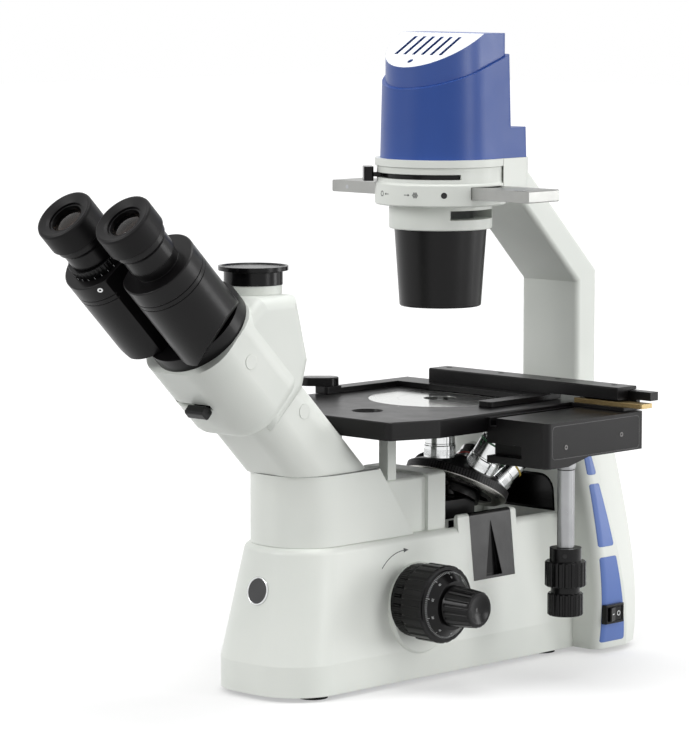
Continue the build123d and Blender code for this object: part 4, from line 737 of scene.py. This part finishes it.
rings_of = ring_tree()
for side, name in ((1, "right"), (-1, "left")):
    dial = frame_at(FOCUS, (side, 0, 0), (0, 0, 1)) @ Matrix.Translation((0, 0, DIAL_OUT))
    lines = []
    for count, back, line in ((100, 1.4, SHORT_LINE), (10, 1.0, LONG_LINE)):
        lines.append(grown(
            rings_of, dial @ Matrix.Translation((0, 0, -back)), Count=count, Rows=1, Step=0.0,
            Radius=DIAL_R + back, Block=line, Lean=DIAL_LEAN, Finish=dial_ink.material,
        ))
    set_down(f"{name}_dial_lines", joined(lines), dial_ink, "coarse")
    on_cone = Matrix.Translation((DIAL_R - 1.7, 0, 1.7)) @ Matrix.Rotation(DIAL_LEAN, 4, "Y")
    upright = on_cone @ Matrix.Rotation(math.pi / 2, 4, "Z")
    numbers = []
    for k in range(10):
        turned_round = dial @ Matrix.Rotation(math.tau * k / 10, 4, "Z")
        numbers.append(figure(str(10 * k), 2.3, turned_round @ upright))
    set_down(f"{name}_dial_numbers", joined(numbers), dial_ink, "coarse")

# Tension ring: the black ring between the wall and the right coarse knob, which sets the drag.
# A fine straight knurl is moulded round it for the fingers.
ring_low, ring_high = mm_box("tension_ring")
ring_wide = ring_high[0] - ring_low[0]
tension_frame = frame_at(((ring_low[0] + ring_high[0]) / 2, *FOCUS[1:]), (1, 0, 0), (0, 0, 1))
tension_knurl = grown(
    rings_of, tension_frame, Count=96, Rows=1, Step=0.0, Radius=(ring_high[1] - ring_low[1]) / 2,
    Block=(0.5, 0.8, ring_wide * 0.6), Lean=0.0, Finish=plastic.material,
)
set_down("tension_knurl", tension_knurl, plastic, "tension")

# Nosepiece turret: a knurled grip round its rim and a bright turned lip under it, on the leaning axis.
# The knurl is cut straight into the black metal in rows of small squares; its blocks are coloured a lighter
# grey than the turret, with still lighter edges, a painted highlight standing in for the light the knurl
# catches.
NOSE_TILT = math.radians(27.0)
SEAT_RADIUS = 27.0
SEAT_Z = 158.0
SEAT_REACH = SEAT_RADIUS / math.sin(NOSE_TILT)
nose_axis = Vector((0, math.sin(NOSE_TILT), math.cos(NOSE_TILT)))
nose_frame = frame_at((0, 0, SEAT_Z - SEAT_REACH), nose_axis)
# Lighter grey than the black turret, with lighter edges: a painted highlight on the knurl.
knurled = paint(
    "knurl_painted_highlight", tone(52, 51, 52), tone(40, 39, 40), tone(92, 91, 92), 0.35, 900.0, 0.02, 0.1,
)
knurl = grown(
    rings_of, nose_frame @ Matrix.Translation((0, 0, 40.6)), Count=110, Rows=4, Step=1.5,
    Radius=40.4, Block=(0.9, 1.5, 1.05), Lean=0.0, Finish=knurled.material,
)
set_down("turret_knurl", knurl, knurled, "revolver")
lip_under = [(30.0, 36.85), (37.3, 36.85), (40.6, 39.4), (40.7, 39.9)]
lip_over = [(39.8, 39.9), (36.8, 37.6), (30.0, 37.4)]
lip = metal("turned_aluminium", tone(200, 199, 194), tone(178, 177, 172), 0.26)
set_down("turret_lip", lathe(lip_under + lip_over, nose_frame, 128), lip, "revolver")

# Objectives: chromed brass barrels screwed into the turret, each with a knurled grip at its root.
# A coloured ring near the tip tells the power, and a thin black line is turned round the barrel.
chrome.put_on("objectives")
SEATS = 5
RING_COLOURS = ((58, 128, 84), (52, 120, 78), (196, 168, 60), (176, 62, 54))
SLEEVES = (24.0, 27.0, 22.0, 20.0)
for index, (colour, sleeve) in enumerate(zip(RING_COLOURS, SLEEVES)):
    round_axis = nose_frame @ Matrix.Rotation(math.tau * index / SEATS, 4, "Z")
    seat = round_axis @ Matrix.Rotation(NOSE_TILT, 4, "X") @ Matrix.Translation((0, 0, SEAT_REACH))
    grip = grown(
        rings_of, seat @ Matrix.Translation((0, 0, 2.2)), Count=64, Rows=4, Step=1.2,
        Radius=12.1, Block=(0.5, 0.8, 0.85), Lean=0.0, Finish=chrome.material,
    )
    set_down(f"objective_grip_{index}", grip, chrome, "revolver")
    coded = paint(
        f"power_ring_{index}", tone(*colour), tone(*[part * 0.9 for part in colour]), tone(220, 220, 220),
        0.35, 1500.0, 0.02, 0.2,
    )
    coded_ring = lathe(flat_ring(11.3, 11.72, sleeve - 4.5, sleeve - 2.9), seat, 64)
    set_down(f"power_ring_{index}", coded_ring, coded, "revolver")
    barrel_line = lathe(flat_ring(11.4, 11.64, 10.6, 11.0), seat, 64)
    set_down(f"barrel_line_{index}", barrel_line, hole, "revolver")

# Folding mirror under the objective: it turns the light forward, into the neck.
# Front-silvered glass, cemented on its cast seat.
metal("mirror", tone(232, 233, 233), tone(226, 228, 228), 0.08).put_on("folding_mirror")

# Dioptre ring on the left tube: a moulded ring with white lines printed round it.
# Below it a bright socket screw holds the eyepiece tube.
HEAD_LEAN = math.sqrt(0.5)
EYE_X, EYE_T = -30.0, 3.0
DIOPTRE_S, DIOPTRE_R = 460.9, 21.0
SCREW_S, SCREW_OUT = 455.5, 28.4
eye_axis = Vector((0, -HEAD_LEAN, HEAD_LEAN))


def in_head(x, t, s):
    """World place of a point of the head's tilted frame, in millimetres."""
    return Vector((x, HEAD_LEAN * (t - s), HEAD_LEAN * (t + s)))


dioptre_lines = grown(
    rings_of, frame_at(in_head(EYE_X, EYE_T, DIOPTRE_S), eye_axis), Count=24, Rows=1, Step=0.0,
    Radius=DIOPTRE_R, Block=(0.2, 0.4, 1.6), Lean=0.0, Finish=white_ink.material,
)
set_down("dioptre_lines", dioptre_lines, white_ink, "dioptre")
screw_turn = math.radians(304)
tube_side = in_head(math.cos(screw_turn), math.sin(screw_turn), 0.0)
screw_frame = frame_at(in_head(EYE_X, EYE_T, SCREW_S) + tube_side * SCREW_OUT, tube_side, eye_axis)
tube_screw = grown(screws, screw_frame, [(0, 0, 0)], Radius=2.0, Height=1.6, Finish=chrome.material)
set_down("tube_screw", tube_screw, chrome, "left_eyepiece_arm")

# Studio: a pale floor that runs on into a white background, and four large soft lamps.
# Near the stand the floor takes light and shadow; further out it turns into the background.
REACH = 9.0
FLOOR_OWN = 0.4
SKY_LIGHT = 0.55


def shows_white(wire):
    """1 for the rays that show the background: from the camera, off gloss and through glass."""
    kinds = ("Is Camera Ray", "Is Glossy Ray", "Is Transmission Ray")
    seen, glint, clear = [wire.make("ShaderNodeLightPath", out=kind) for kind in kinds]
    return wire.math("MINIMUM", seen + glint + clear, 1.0)


floor_mesh = bpy.data.meshes.new("studio_floor")
floor_mesh.from_pydata(
    [(-REACH, -REACH, 0), (REACH, -REACH, 0), (REACH, REACH, 0), (-REACH, REACH, 0)], [], [(0, 1, 2, 3)],
)
studio_floor = bpy.data.objects.new("studio_floor", floor_mesh)
bpy.context.collection.objects.link(studio_floor)
pale = Finish("studio_floor", Specular_IOR_Level=0.05, Emission_Strength=1.0)
away = pale.place.vector("LENGTH", (0, 0, 0), out="Value").smooth(0.3, 0.75)
own_light = shows_white(pale.wire) * (away * (1 - FLOOR_OWN) + FLOOR_OWN)
pale.lead(
    Base_Color=away.blend(tone(200, 200, 200), tone(120, 120, 120)),
    Roughness=pale.noise(30.0) * 0.05 + 0.75,
    Emission_Color=own_light.blend((0, 0, 0, 1), (1, 1, 1, 1)),
)
floor_mesh.materials.append(pale.material)

world = bpy.data.worlds.new("studio")
bpy.context.scene.world = world
world.use_nodes = True
sky = Wire(world.node_tree)
strength = shows_white(sky) * (1 - SKY_LIGHT) + SKY_LIGHT
background = world.node_tree.nodes["Background"]
background.inputs["Color"].default_value = (1, 1, 1, 1)
sky.tree.links.new(strength.socket, background.inputs["Strength"])


def soft_lamp(name, place, aim, size, power):
    """A large soft box in metres and watts, turned towards a point."""
    lamp = bpy.data.lights.new(name, "AREA")
    lamp.shape = "RECTANGLE"
    lamp.size, lamp.size_y = size
    lamp.energy = power
    lantern = bpy.data.objects.new(name, lamp)
    lantern.location = place
    lantern.rotation_euler = (Vector(aim) - Vector(place)).to_track_quat("-Z", "Y").to_euler()
    bpy.context.collection.objects.link(lantern)


soft_lamp("front_left_lamp", (-0.9, -1.9, 1.4), (0, -0.05, 0.2), (0.8, 1.1), 20)
soft_lamp("right_lamp", (1.9, 0.3, 0.7), (0, 0, 0.15), (0.5, 1.2), 10)
soft_lamp("back_right_lamp", (1.5, 1.6, 0.4), (0, 0, 0.15), (0.6, 1.0), 10)
soft_lamp("top_lamp", (0.1, 0.0, 2.1), (0, 0, 0.2), (1.2, 1.2), 22)

# Camera: where the photograph was taken from, a long lens from the front right and a little above.
# The picture is taller than wide, so its height in pixels fixes the lens.
IMAGE_TALL = 750
FOCAL_PIXELS = 3800.0
AZIMUTH = 44.0
PITCH = 6.56
CAMERA_AT = (1.94951, -2.12381, 0.55210)
lens = bpy.data.cameras.new("photo")
lens.sensor_width = 36.0
lens.lens = lens.sensor_width * FOCAL_PIXELS / IMAGE_TALL
lens.clip_end = 50
camera = bpy.data.objects.new("photo", lens)
camera.location = CAMERA_AT
camera.rotation_euler = (math.radians(90 - PITCH), 0, math.radians(AZIMUTH))
bpy.context.collection.objects.link(camera)
bpy.context.scene.camera = camera
bpy.context.scene.view_settings.view_transform = "Standard"
